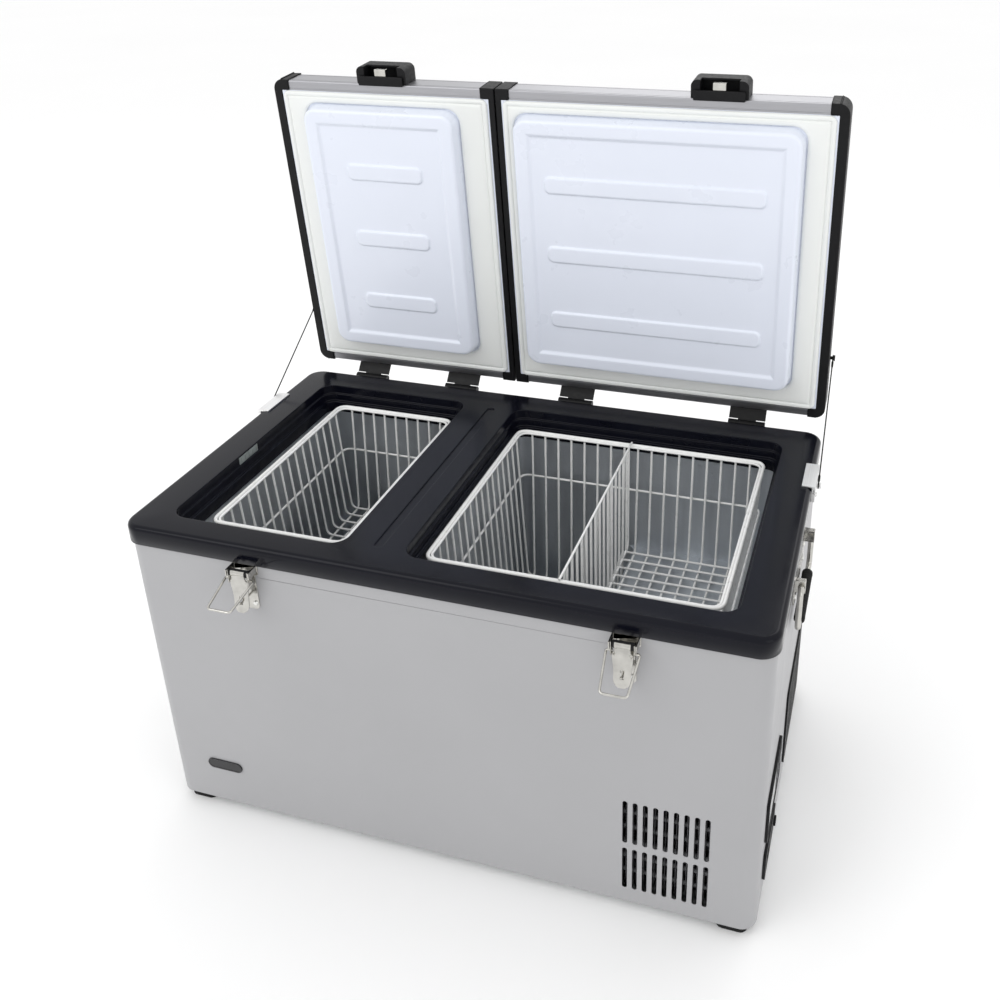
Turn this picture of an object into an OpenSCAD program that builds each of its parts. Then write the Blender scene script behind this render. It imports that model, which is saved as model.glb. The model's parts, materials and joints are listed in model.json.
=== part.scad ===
// Dual-zone compressor cooler fridge: two lids, stepped tubs, wire baskets and a machine compartment.
// Millimetres. +X right, +Y back, +Z up. The origin is on the floor, under the middle of the cabinet.
// The lids are drawn closed and turned about their hinge line by lid_open.

/* [Cabinet] */
// Width of the painted cabinet
cabinet_w = 862; // [852:1:872]
// Depth of the painted cabinet
cabinet_d = 502; // [496:1:510]
// Height of the painted cabinet without feet and rim
cabinet_h = 440; // [430:1:460]
// Radius of the upright edges of the cabinet
cabinet_r = 22; // [16:1:28]
// Thickness of the steel sheet
sheet_t = 1.2; // [0.8:0.1:1.5]
// Height of the feet
foot_h = 16; // [12:1:24]

/* [Rim and tubs] */
// How far the rim stands out past the cabinet
rim_over = 4; // [3:0.5:5]
// Height of the rim
rim_h = 28; // [26:1:32]
// Width of the left opening in the rim
left_w = 257; // [250:1:262]
// Width of the right opening in the rim
right_w = 426; // [421:1:430]
// Depth of both openings, front to back
opening_d = 420; // [414:1:422]
// Width of the bridge between the openings
bridge_w = 83; // [79:1:88]
// Height of the tub floors above the ground
tub_floor_z = 80; // [76:1:110]
// Height of the shallow floor over the machine compartment
step_z = 264; // [255:1:266]

/* [Baskets] */
// Height of the basket tops above the ground
basket_z = 461; // [459:0.5:461.5]
// Distance between neighbouring basket wires
wire_pitch = 21; // [20:0.5:30]
// Diameter of the thick rim wires
rim_wire_d = 5.4; // [4.8:0.1:5.6]
// Diameter of the thin wires
wire_d = 3.6; // [3:0.1:3.8]

/* [Lids] */
// Depth of the lids, hinge side to front edge
lid_l = 490; // [484:1:496]
// Thickness of the lids
lid_h = 42; // [36:1:46]
// Angle at which the lids are drawn
lid_open = 85; // [0:1:85]
// Depth of the insulating plug under each lid
plug_h = 22; // [18:1:22]

/* [Latches, hinges and handles] */
// Centre of the left latch
left_latch_x = -250; // [-300:1:-200]
// Centre of the right latch
right_latch_x = 258; // [200:1:300]
// Width of a hinge
hinge_w = 57; // [50:1:64]
// Width of the carry handles
handle_w = 150; // [120:1:160]

/* [Hidden] */
$fn = 40;

// Colours
paint_grey = [0.69, 0.69, 0.69];
rim_black = [0.07, 0.08, 0.11];
soft_black = [0.06, 0.06, 0.06];
steel = [0.78, 0.78, 0.76];
zinc = [0.62, 0.63, 0.62];
aluminium = [0.72, 0.73, 0.74];
liner_white = [0.88, 0.91, 0.97];
gasket_white = [0.90, 0.91, 0.90];
wire_white = [0.95, 0.95, 0.94];
foam_cream = [0.93, 0.88, 0.68];
copper = [0.72, 0.45, 0.26];

// Overall levels and edges
LEFT = 0;
RIGHT = 1;
cabinet_z = foot_h;
rim_z = foot_h + cabinet_h;
deck_z = rim_z + rim_h;
rim_w = cabinet_w + 2 * rim_over;
rim_d = cabinet_d + 2 * rim_over;
rim_r = cabinet_r + rim_over;
rim_edge = 7;
rim_wall = 5.5;
front_y = -cabinet_d / 2;
side_x = cabinet_w / 2;
pan_t = 1.5;
eps = 0.02;

// Openings: x range of each, shared y centre, two ledges on the way down
opening_x0 = [-384, -384 + left_w + bridge_w];
opening_w = [left_w, right_w];
opening_y = -6;
opening_r = 22;
ledge_in = [3, 8];
ledge_z = [deck_z - 14, deck_z - 26];
skirt_z = deck_z - 44;
skirt_t = 3;
channel_x = -81;
lamp_y = [-54, -6];
lamp_z = deck_z - 13.5;
lamp_h = 11;

// Tubs
tub_t = 1;
tub_flange = 8;
deep_x = 158;
coil_pitch = 28;
coil_count = 5;
coil_size = 6;

// Baskets
basket_x = [[-350, -143], [-32, 361]];
basket_y = [-184, 185];
basket_deep = 195;
basket_shallow = 272;
basket_end = 24;
basket_taper = 13;
lug_w = 12;
lug_h = 8;
lug_reach = 2.3;
basket_split = 148;
divider_x = 154;

// Machine compartment at the right, under the shallow floor
machine_x = 205;
machine_top = 214;
machine_y = cabinet_d / 2 - sheet_t;

// Lids
lid_x = [[-rim_w / 2 + 1, -71.5], [-69.5, rim_w / 2 - 1]];
lid_y0 = 250 - lid_l;
lid_y1 = 250;
lid_z0 = deck_z + 4;
lid_z1 = lid_z0 + lid_h;
lid_r = 16;
cap_outer = 14;
cap_inner = 9;
cap_wall = 3;
cap_skin = 1.5;
cap_sleeve = 12;
bar_w = 14.5;
bar_wall = 1.6;
panel_t = 1.2;
liner_t = 2;
plug_clear = 3;
plug_y = -2;
plug_d = 406;
plug_taper = 8;
gasket_gap = 0.3;

// Domed ribs in the recessed field of each lid liner
rib_y = [-106, 4, 114];
rib_w = 26;
rib_x = [[-316, -190], [6, 332]];
recess_in = 18;
recess_t = 3;

// Hinges
hinge_x = [[-330, -164], [37, 317]];
hinge_y = rim_d / 2 + 13;
hinge_z = deck_z - 9;
knuckle_r = 6;
pin_r = 3;
run_fit = 0.05;
leaf_t = 2.5;
leaf_core = 14;
leaf_screw_at = [-20, 0, 20];
leaf_screw_z = rim_z + 6;
lid_screw_at = [-18, 18];

// Latches
latch_x = [left_latch_x, right_latch_x];
lever_pivot = [front_y - 15, rim_z - 5];
bail_drop = 10;
bail_pivot = [lever_pivot[0], lever_pivot[1] - bail_drop];
bail_l = 52;
bail_top_w = 41;
bail_end_w = 32;
bail_wire_r = 1.5;
bail_out = [76, 60];
lever_w = 30;
lever_h = 57;
lever_t = 1.5;
base_t = 1.6;
latch_plate = [26, 66];
latch_band = [36, 15];
latch_screw_at = [[-8, -60], [8, -60], [0, -22]];
staple_z = rim_z - 44;
staple_r = 5;
keeper_w = 80;
keeper_out = 24;
hook_w = 18;
hook_l = 22;

// Handles
handle_x = side_x + 10;
handle_z = 425;
handle_drop = 58;
handle_bar_r = 4;
handle_grip_r = 7.5;
handle_plate = [128, 46, 2];
handle_screw_y = 46;
handle_screw_z = [-30, -6];

// Stay cords
stay_y = 118;
stay_low_z = 471;
stud_y = 153;
stud_z = lid_z0 + lid_h / 2;
stay_r = 1;

// Front vent
vent_x = 311;
vent_rows = [157, 76];
vent_slots = 9;
vent_pitch = 13.3;
vent_slot = [6.6, 72];

// Side panels, all on the right face
panel_y = -150;
panel_z = 166;
panel_size = [128, 70];
display_y = panel_y - 18;
display_size = [62, 34];
inlet_y = -160;
inlet_z = 82;
inlet_size = [96, 44];
mains_y = inlet_y - 20;
low_volt_y = inlet_y + 14;
fuse_y = inlet_y + 35;
grille_y = 90;
grille_z = 126;
grille_size = [180, 130];
button_y = -110;
button_z = 182;
button_r = 8;
rocker_y = -110;
rocker_z = 151;
rocker_size = [30, 14];

// Fan, blowing from the condenser through the machine compartment
fan_x = vent_x;
fan_y = -178;
fan_z = 118;
fan_r = 54;

// Compressor and condenser
compressor_at = [318, 105];
cond_w = 118;
cond_y = -222;
cond_z = 36;
cond_first = 16;
cond_h = 164;
cond_fin_w = 34;
cond_rows = 6;
cond_pitch = 26;
cond_col = 8;
cond_x0 = vent_x - cond_w / 2;
tube_r = 4;

// ---------- shared shapes ----------

// Rectangle with round corners, centred
module rounded(w, d, r) {
    offset(r = r) square([w - 2 * r, d - 2 * r], center = true);
}

// Slab whose upper edge is rounded by e
module soft_slab(w, d, h, r, e) {
    steps = 5;
    hull() {
        linear_extrude(h - e) rounded(w, d, r);
        for (i = [1:steps]) {
            a = 90 * i / steps;
            inset = e * (1 - cos(a));
            translate([0, 0, h - e + e * sin(a) - 0.01])
                linear_extrude(0.01) rounded(w - 2 * inset, d - 2 * inset, r - inset);
        }
    }
}

// Straight wire from p to q
module wire(p, q, r) {
    v = q - p;
    l = norm(v);
    translate(p) rotate([0, acos(v[2] / l), atan2(v[1], v[0])]) cylinder(h = l, r = r);
}

// Wire from p to q, shortened by a hairline at both ends
module loose_wire(p, q, r) {
    u = (q - p) / norm(q - p);
    wire(p + eps * u, q - eps * u, r);
}

// Rectangular wire loop lying flat, with quarter-round corners of radius c
module wire_loop(x0, x1, y0, y1, z, c, r) {
    loose_wire([x0 + c, y0, z], [x1 - c, y0, z], r);
    loose_wire([x0 + c, y1, z], [x1 - c, y1, z], r);
    loose_wire([x0, y0 + c, z], [x0, y1 - c, z], r);
    loose_wire([x1, y0 + c, z], [x1, y1 - c, z], r);
    corners = [
        [x0 + c, y0 + c, 180],
        [x1 - c, y0 + c, 270],
        [x1 - c, y1 - c, 0],
        [x0 + c, y1 - c, 90]
    ];
    for (k = corners)
        translate([k[0], k[1], z]) rotate([0, 0, k[2]])
            rotate_extrude(angle = 90) translate([c, 0]) circle(r);
}

// Rounded slot outline, upright
module slot_outline(w, h) {
    offset(r = w / 2 - 0.01) square([0.02, h - w + 0.02], center = true);
}

// Outline of an opening, grown by g
module opening(side, g) {
    translate([opening_x0[side] + opening_w[side] / 2, opening_y])
        rounded(opening_w[side] + 2 * g, opening_d + 2 * g, opening_r + g);
}

// Outline of the hollow inside the rim
module rim_hollow_outline() {
    difference() {
        rounded(rim_w - 2 * rim_wall, rim_d - 2 * rim_wall, rim_r - rim_wall);
        for (s = [LEFT, RIGHT]) opening(s, skirt_t);
    }
}

// A shape drawn on the front face: x to the right, second coordinate up, facing -Y
module on_front(depth) {
    rotate([90, 0, 0]) linear_extrude(depth, center = true) children();
}

// A shape drawn on the right face: first coordinate along Y, second up
module on_side(depth) {
    rotate([90, 0, 90]) linear_extrude(depth, center = true) children();
}

// Evenly spaced places between a and b, about wire_pitch apart
function spread(a, b) =
    let (n = max(2, round((b - a) / wire_pitch))) [for (i = [0:n]) a + (b - a) * i / n];

// Places of a basket's front and back wires, and of the rim's lugs between the outermost pairs
function front_wires(side) = spread(basket_x[side][0] + basket_end, basket_x[side][1] - basket_end);
function lug_places(side) =
    let (w = front_wires(side), n = len(w) - 1) [(w[0] + w[1]) / 2, (w[n - 1] + w[n]) / 2];

// ---------- fasteners ----------

// One pan-head screw along -Z, its head standing on z = 0
module screw() {
    cylinder(h = 1.8, r1 = 3.6, r2 = 2.6);
    translate([0, 0, -8]) cylinder(h = 8, r = 1.9);
}

screw_hole_r = 1.9;

// Screw places on the front face: three for each latch base
function latch_screws() = [
    for (x = latch_x) for (k = latch_screw_at) [x + k[0], front_y - base_t, rim_z + k[1]]
];
// Screw places on a side face: four for each handle plate and two for each stay bracket
function handle_screws() =
    [for (s = [-1, 1]) for (z = handle_screw_z) [s * handle_screw_y, handle_z + z]];
function bracket_screws() = [for (y = [-20, 20]) [stay_y + y, stay_low_z - 3]];
// Screw places on the rim's back face: three for each hinge
function leaf_screws() = [for (s = [LEFT, RIGHT]) for (x = hinge_x[s]) for (k = leaf_screw_at) x + k];

// Everything that a screw of the root body passes through is cut or filled by this
module each_screw() {
    for (p = latch_screws()) translate(p) rotate([90, 0, 0]) children();
    for (m = [0, 1]) mirror([m, 0, 0]) {
        for (p = handle_screws())
            translate([side_x + handle_plate[2], p[0], p[1]]) rotate([0, 90, 0]) children();
        for (p = bracket_screws())
            translate([rim_w / 2 + 5, p[0], p[1]]) rotate([0, 90, 0]) children();
    }
    for (x = leaf_screws())
        translate([x, rim_d / 2 + leaf_t, leaf_screw_z]) rotate([-90, 0, 0]) children();
}

module screws() {
    color(steel) each_screw() screw();
}

module screw_cuts() {
    each_screw() translate([0, 0, -8]) cylinder(h = 12, r = screw_hole_r);
}

// ---------- cabinet ----------

module vent_cuts() {
    for (z = vent_rows)
        translate([vent_x, front_y, z])
            on_front(10)
                for (i = [0:vent_slots - 1])
                    translate([(i - (vent_slots - 1) / 2) * vent_pitch, 0])
                        slot_outline(vent_slot[0], vent_slot[1]);
}

module side_cuts() {
    cuts = [
        [panel_y, panel_z, panel_size, 12],
        [inlet_y, inlet_z, inlet_size, 10],
        [grille_y, grille_z, grille_size, 14]
    ];
    for (k = cuts)
        translate([side_x, k[0], k[1]]) cube([12, k[2][0] - k[3], k[2][1] - k[3]], center = true);
}

module cabinet_shell() {
    color(paint_grey) difference() {
        translate([0, 0, cabinet_z])
            linear_extrude(cabinet_h)
                difference() {
                    rounded(cabinet_w, cabinet_d, cabinet_r);
                    rounded(cabinet_w - 2 * sheet_t, cabinet_d - 2 * sheet_t, cabinet_r - sheet_t);
                }
        vent_cuts();
        side_cuts();
        screw_cuts();
    }
}

module base_plate() {
    w = cabinet_w - 2 * sheet_t;
    d = cabinet_d - 2 * sheet_t;
    r = cabinet_r - sheet_t;
    color(zinc) translate([0, 0, cabinet_z]) difference() {
        linear_extrude(14) rounded(w, d, r);
        translate([0, 0, pan_t]) linear_extrude(14) rounded(w - 2 * pan_t, d - 2 * pan_t, r - pan_t);
        // Louvres under the compressor
        for (i = [0:4]) translate([274 + i * 20, 62, -1]) cube([8, 86, 6]);
    }
}

module feet() {
    size = 48;
    inset = 8;
    color(soft_black)
        for (sx = [-1, 1], sy = [-1, 1])
            translate([sx * (side_x - inset - size / 2), sy * (cabinet_d / 2 - inset + 4 - size / 2), 0]) {
                linear_extrude(foot_h - 5) rounded(size - 6, size - 6, 10);
                translate([0, 0, foot_h - 5]) linear_extrude(5) rounded(size, size, 13);
            }
}

// The cabinet's inside outline to the right of x0
module machine_outline(x0) {
    intersection() {
        rounded(cabinet_w - 2 * sheet_t, cabinet_d - 2 * sheet_t, cabinet_r - sheet_t);
        translate([x0, -cabinet_d / 2]) square([side_x - x0, cabinet_d]);
    }
}

// Sheet wall and ceiling between the foam and the machine compartment
module machine_bulkhead() {
    z0 = cabinet_z + 14;
    color(zinc) {
        translate([machine_x, -machine_y, z0]) cube([sheet_t, 2 * machine_y, machine_top - z0]);
        translate([0, 0, machine_top]) linear_extrude(sheet_t) machine_outline(machine_x);
    }
}

module top_rim() {
    color(rim_black) difference() {
        union() {
            translate([0, 0, rim_z]) soft_slab(rim_w, rim_d, rim_h, rim_r, rim_edge);
            for (s = [LEFT, RIGHT])
                translate([0, 0, skirt_z])
                    linear_extrude(rim_z - skirt_z + 2) opening(s, skirt_t - ledge_in[1]);
        }
        translate([0, 0, rim_z - 1]) linear_extrude(rim_h - skirt_t + 1) rim_hollow_outline();
        for (s = [LEFT, RIGHT]) {
            translate([0, 0, ledge_z[0]]) linear_extrude(rim_h) opening(s, 0);
            translate([0, 0, ledge_z[1]]) linear_extrude(rim_h) opening(s, -ledge_in[0]);
            translate([0, 0, skirt_z - 1]) linear_extrude(rim_h + 20) opening(s, -ledge_in[1]);
        }
        // Drip channel along the bridge
        translate([channel_x, opening_y, deck_z - 2]) linear_extrude(4) rounded(12, opening_d - 16, 5.9);
        // Pocket for the lamp
        translate([opening_x0[LEFT] - skirt_t - 1, lamp_y[0], lamp_z])
            cube([skirt_t + 2, lamp_y[1] - lamp_y[0], lamp_h]);
        screw_cuts();
    }
    // Lugs that carry the baskets, standing between their end wires
    lug_top = basket_z - rim_wire_d - 0.2;
    wall_y = opening_d / 2 - ledge_in[1];
    color(rim_black)
        for (side = [LEFT, RIGHT], x = lug_places(side)) {
            translate([x - lug_w / 2, opening_y - wall_y, lug_top - lug_h])
                cube([lug_w, basket_y[0] + lug_reach - opening_y + wall_y, lug_h]);
            translate([x - lug_w / 2, basket_y[1] - lug_reach, lug_top - lug_h])
                cube([lug_w, opening_y + wall_y - basket_y[1] + lug_reach, lug_h]);
        }
}

// ---------- insulation and tubs ----------

// Solid block of a tub, grown by g, from its floor up to z1
module tub_block(side, g, z1) {
    if (side == LEFT) {
        translate([0, 0, tub_floor_z - g])
            linear_extrude(z1 - tub_floor_z + g) opening(LEFT, g - ledge_in[1]);
    } else {
        x0 = opening_x0[RIGHT] + ledge_in[1];
        w = deep_x - x0;
        d = opening_d - 2 * ledge_in[1];
        translate([0, 0, step_z - g]) linear_extrude(z1 - step_z + g) opening(RIGHT, g - ledge_in[1]);
        translate([x0 + w / 2, opening_y, tub_floor_z - g])
            linear_extrude(step_z - tub_floor_z + 2 * g)
                rounded(w + 2 * g, d + 2 * g, opening_r - ledge_in[1] + g);
    }
}

module tub(side) {
    color(aluminium) difference() {
        union() {
            tub_block(side, tub_t, skirt_z);
            translate([0, 0, skirt_z - tub_t])
                linear_extrude(tub_t) opening(side, tub_flange - ledge_in[1]);
        }
        tub_block(side, 0, skirt_z + 1);
    }
}

module left_tub() {
    tub(LEFT);
}

module right_tub() {
    tub(RIGHT);
}

// Evaporator: flat tube bands round the upper part of both tubs
module coil_bands() {
    for (s = [LEFT, RIGHT]) {
        for (i = [0:coil_count - 1])
            translate([0, 0, 292 + i * coil_pitch])
                linear_extrude(coil_size)
                    difference() {
                        opening(s, tub_t + coil_size - ledge_in[1]);
                        opening(s, tub_t - ledge_in[1]);
                    }
        translate([opening_x0[s] + opening_w[s] / 2, opening_y + opening_d / 2 - ledge_in[1] + tub_t, 292])
            cube([10, coil_size, (coil_count - 1) * coil_pitch + 2]);
    }
}

module evaporator_coils() {
    color(aluminium) coil_bands();
}

module foam_insulation() {
    z0 = cabinet_z + pan_t;
    w = cabinet_w - 2 * sheet_t;
    d = cabinet_d - 2 * sheet_t;
    color(foam_cream) difference() {
        union() {
            translate([0, 0, cabinet_z + 14])
                linear_extrude(rim_z - cabinet_z - 14) rounded(w, d, cabinet_r - sheet_t);
            translate([0, 0, z0])
                linear_extrude(16) rounded(w - 2 * pan_t, d - 2 * pan_t, cabinet_r - sheet_t - pan_t);
            translate([0, 0, rim_z]) linear_extrude(rim_h - skirt_t) rim_hollow_outline();
        }
        for (s = [LEFT, RIGHT]) {
            tub_block(s, tub_t, skirt_z + 60);
            translate([0, 0, skirt_z - tub_t]) linear_extrude(tub_t) opening(s, tub_flange - ledge_in[1]);
            translate([0, 0, skirt_z]) linear_extrude(60) opening(s, skirt_t - ledge_in[1]);
        }
        coil_bands();
        translate([machine_x, -machine_y, z0 - 1])
            cube([side_x, 2 * machine_y, machine_top + sheet_t - z0 + 1]);
        screw_cuts();
    }
}

// ---------- refrigeration ----------

module compressor() {
    color([0.08, 0.08, 0.09]) translate([compressor_at[0], compressor_at[1], 0]) {
        translate([0, 0, 44]) rotate_extrude() {
            difference() {
                offset(r = 24) translate([0, 24]) square([38, 72]);
                translate([-60, -10]) square([60, 200]);
            }
        }
        // Weld flange round the shell
        translate([0, 0, 100]) cylinder(h = 6, r = 66);
        // Terminal cover
        translate([-60, -76, 70]) cube([50, 24, 46]);
    }
}

module compressor_mounts() {
    translate([compressor_at[0], compressor_at[1], 0]) {
        // Mounting bracket under the shell
        color(zinc) translate([0, 0, 36]) difference() {
            linear_extrude(8) rounded(160, 120, 12);
            for (sx = [-1, 1], sy = [-1, 1]) translate([sx * 66, sy * 46, -1]) cylinder(h = 12, r = 6);
        }
        for (sx = [-1, 1], sy = [-1, 1]) translate([sx * 66, sy * 46, cabinet_z + pan_t]) {
            // Rubber grommet
            color(soft_black) difference() {
                union() {
                    cylinder(h = 36 - cabinet_z - pan_t, r = 10);
                    translate([0, 0, 36 - cabinet_z - pan_t]) cylinder(h = 8, r = 6);
                    translate([0, 0, 44 - cabinet_z - pan_t]) cylinder(h = 4, r = 10);
                }
                translate([0, 0, -1]) cylinder(h = 40, r = 3);
            }
            // Bolt with washer head
            color(steel) {
                cylinder(h = 48 - cabinet_z - pan_t, r = 3);
                translate([0, 0, 48 - cabinet_z - pan_t]) cylinder(h = 5, r = 6, $fn = 6);
            }
        }
    }
}

// Height of the condenser's tube row number r
function cond_row(r) = cond_z + cond_first + r * cond_pitch;

// Places of the condenser tubes in one fin
module tube_holes() {
    for (r = [0:cond_rows - 1], c = [-cond_col, cond_col])
        translate([c, cond_first + r * cond_pitch]) circle(r = tube_r + run_fit);
}

// Finned serpentine: two columns of tubes, joined by bends at both ends
module condenser() {
    fins = 26;
    end = 8;
    color(aluminium)
        for (i = [0:fins - 1])
            translate([cond_x0 + i * cond_w / (fins - 1), cond_y, cond_z])
                rotate([90, 0, 90]) linear_extrude(0.6, center = true)
                    difference() {
                        translate([-cond_fin_w / 2, 0]) square([cond_fin_w, cond_h]);
                        tube_holes();
                    }
    color(copper) {
        for (r = [0:cond_rows - 1], c = [-cond_col, cond_col])
            translate([cond_x0 - end, cond_y + c, cond_row(r)])
                rotate([0, 90, 0]) cylinder(h = cond_w + 2 * end, r = tube_r);
        for (r = [0:cond_rows - 1])
            translate([cond_x0 + cond_w + end, cond_y, cond_row(r)])
                rotate([0, 0, -90]) rotate_extrude(angle = 180) translate([cond_col, 0]) circle(tube_r);
        for (r = [0:cond_rows - 2])
            translate([cond_x0 - end, cond_y + (r % 2 == 0 ? cond_col : -cond_col), cond_row(r + 0.5)])
                rotate([90, 0, 0]) rotate([0, 0, 90])
                    rotate_extrude(angle = 180) translate([cond_pitch / 2, 0]) circle(tube_r);
    }
    // End plates that stand on the pan
    stand = cond_z - cabinet_z - pan_t;
    color(zinc)
        for (x = [cond_x0 - 4, cond_x0 + cond_w + 4])
            translate([x, cond_y, cond_z])
                rotate([90, 0, 90]) linear_extrude(2, center = true)
                    difference() {
                        translate([-cond_fin_w / 2, -stand]) square([cond_fin_w, cond_h + stand]);
                        tube_holes();
                    }
}

module fan_shroud() {
    half = 62;
    color(soft_black) translate([fan_x, fan_y, fan_z]) rotate([90, 0, 0]) {
        difference() {
            translate([0, 0, -13]) linear_extrude(26) rounded(2 * half, 2 * half, 6);
            translate([0, 0, -14]) cylinder(h = 28, r = fan_r + 3);
        }
        // Motor cup held by four struts
        translate([0, 0, -13]) cylinder(h = 8, r = 17);
        for (a = [45:90:315])
            rotate([0, 0, a]) translate([15, -2, -12.5]) cube([fan_r - 10, 4, 4]);
        translate([0, 0, -6]) cylinder(h = 15, r = 3);
    }
    // Foot that carries the shroud
    color(zinc) translate([fan_x - 50, fan_y - 12, cabinet_z + pan_t])
        cube([100, 24, fan_z - half - cabinet_z - pan_t]);
}

module fan_rotor() {
    blades = 7;
    color([0.12, 0.12, 0.13]) translate([fan_x, fan_y, fan_z]) rotate([90, 0, 0]) {
        difference() {
            translate([0, 0, -4]) cylinder(h = 15, r = 18);
            translate([0, 0, -5]) cylinder(h = 14.4, r = pin_r + run_fit);
        }
        for (i = [0:blades - 1])
            rotate([0, 0, i * 360 / blades])
                translate([16, 0, 3.5]) rotate([38, 0, 0]) translate([0, -11, -0.9]) cube([35, 22, 1.8]);
    }
}

// One copper run through the points of a list
module pipe(points, r) {
    for (i = [0:len(points) - 2]) {
        u = (points[i + 1] - points[i]) / norm(points[i + 1] - points[i]);
        wire(points[i] - u * r * 0.9, points[i + 1] + u * r * 0.9, r);
    }
}

module refrigerant_lines() {
    cx = compressor_at[0];
    cy = compressor_at[1];
    inlet_x = cond_x0 - 8;
    row = [cond_row(0), cond_row(cond_rows - 1)];
    tube_y = cond_y - cond_col;
    dry_x = inlet_x - 16;
    dry_y = -140;
    dry_z = 84;
    dry_l = 74;
    wall_x = machine_x + sheet_t;
    color(copper) {
        // Discharge line to the top of the condenser
        pipe([[cx, cy - 65, 130], [cx, 20, 130], [cx, 20, 200], [inlet_x - 8, 20, 200],
              [inlet_x - 8, tube_y, 200], [inlet_x - 8, tube_y, row[1]], [inlet_x - 2.7, tube_y, row[1]]], 3);
        // Suction line through the bulkhead
        pipe([[cx, cy + 66, 120], [cx, cy + 76, 120], [cx, cy + 76, 205], [wall_x + 3.6, cy + 76, 205]], 4);
        // Liquid line with the filter drier and the capillary
        pipe([[inlet_x - 2.7, tube_y, row[0]], [dry_x, tube_y, row[0]],
              [dry_x, dry_y, row[0]], [dry_x, dry_y, dry_z - 2.7]], 3);
        translate([dry_x, dry_y, dry_z]) cylinder(h = dry_l, r = 9);
        pipe([[dry_x, dry_y, dry_z + dry_l + 1.4], [dry_x, dry_y, 186], [wall_x + 1.5, dry_y, 186]], 1.6);
    }
}

module control_module() {
    color([0.12, 0.35, 0.2]) translate([side_x - 40, panel_y - 46, 134]) cube([2, 92, 66]);
    color(soft_black) {
        translate([side_x - 38, panel_y - 30, 142]) cube([14, 22, 40]);
        translate([side_x - 38, panel_y + 6, 150]) cube([10, 26, 16]);
    }
    color(aluminium)
        for (i = [0:5]) translate([side_x - 54, panel_y - 40 + i * 15, 140]) cube([14, 2, 54]);
}

// ---------- right face ----------

module control_panel() {
    color(soft_black) difference() {
        translate([side_x + 2, panel_y, panel_z]) on_side(4) rounded(panel_size[0], panel_size[1], 8);
        // Recessed face with its display window, button and rocker holes
        translate([side_x + 4, panel_y, panel_z])
            on_side(2) rounded(panel_size[0] - 10, panel_size[1] - 10, 5);
        translate([side_x, display_y, panel_z]) cube([20, display_size[0], display_size[1]], center = true);
        translate([side_x - 10, button_y, button_z]) rotate([0, 90, 0]) cylinder(h = 20, r = button_r + 0.3);
        translate([side_x, rocker_y, rocker_z])
            cube([20, rocker_size[0] + 0.6, rocker_size[1] + 0.6], center = true);
    }
}

module display_window() {
    color([0.02, 0.03, 0.05]) translate([side_x + 1.6, display_y, panel_z])
        cube([3.2, display_size[0], display_size[1]], center = true);
}

module power_button() {
    color([0.3, 0.3, 0.32]) translate([side_x - 2, button_y, button_z]) rotate([0, 90, 0]) {
        cylinder(h = 7, r = button_r);
        translate([0, 0, -3]) cylinder(h = 3, r = 5);
    }
}

module temperature_rocker() {
    color([0.35, 0.35, 0.37]) translate([side_x + 1, rocker_y, rocker_z]) {
        cube([5, rocker_size[0], rocker_size[1]], center = true);
        // Round ridge on the tilting axis
        cylinder(h = rocker_size[1], r = 3, center = true);
        // Minus and plus marks
        translate([2.6, -9, 0]) cube([0.8, 6, 1.6], center = true);
        translate([2.6, 9, 0]) cube([0.8, 6, 1.6], center = true);
        translate([2.6, 9, 0]) cube([0.8, 1.6, 6], center = true);
    }
}

module power_inlets() {
    color(soft_black) difference() {
        union() {
            translate([side_x + 2, inlet_y, inlet_z]) on_side(4) rounded(inlet_size[0], inlet_size[1], 6);
            translate([side_x - 11, inlet_y, inlet_z])
                cube([22, inlet_size[0] - 12, inlet_size[1] - 12], center = true);
        }
        // Mains inlet with its three-pin shape
        translate([side_x + 5, mains_y, inlet_z]) cube([34, 26, 18], center = true);
        // Low-voltage inlet
        translate([side_x + 5, low_volt_y, inlet_z]) cube([30, 16, 10], center = true);
        // Seat of the fuse cap
        translate([side_x, fuse_y, inlet_z]) rotate([0, 90, 0]) cylinder(h = 5, r = 7);
    }
    color(steel) {
        for (k = [-7, 0, 7])
            translate([side_x - 12, mains_y + k - 1, inlet_z - 2]) cube([13, 2, 4]);
        for (k = [-4, 4])
            translate([side_x - 10, low_volt_y + k, inlet_z]) rotate([0, 90, 0]) cylinder(h = 11, r = 1.2);
    }
    color([0.2, 0.2, 0.2]) translate([side_x, fuse_y, inlet_z]) rotate([0, 90, 0]) cylinder(h = 7, r = 7);
}

module side_grille() {
    slots = 11;
    color(soft_black) difference() {
        union() {
            translate([side_x + 1.5, grille_y, grille_z]) on_side(3) rounded(grille_size[0], grille_size[1], 8);
            translate([side_x - 1.5, grille_y, grille_z])
                cube([3, grille_size[0] - 14, grille_size[1] - 14], center = true);
        }
        translate([side_x, grille_y, grille_z])
            on_side(12)
                for (i = [0:slots - 1], c = [-1, 1])
                    translate([c * 40, (i - (slots - 1) / 2) * 10]) square([68, 5], center = true);
    }
}

// Blank name plate on the front
module badge() {
    translate([-341, front_y, 86]) {
        color(steel) translate([0, -1, 0]) on_front(2) difference() {
            rounded(56, 17, 8.4);
            rounded(52, 13, 6.4);
        }
        color(soft_black) translate([0, -0.75, 0]) on_front(1.5) rounded(52, 13, 6.4);
    }
}

module interior_lamp() {
    color([0.85, 0.88, 0.85]) translate([opening_x0[LEFT] - skirt_t, lamp_y[0], lamp_z])
        cube([skirt_t + 0.6, lamp_y[1] - lamp_y[0], lamp_h]);
}

// ---------- hinges, stays, latches and handles ----------

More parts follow.
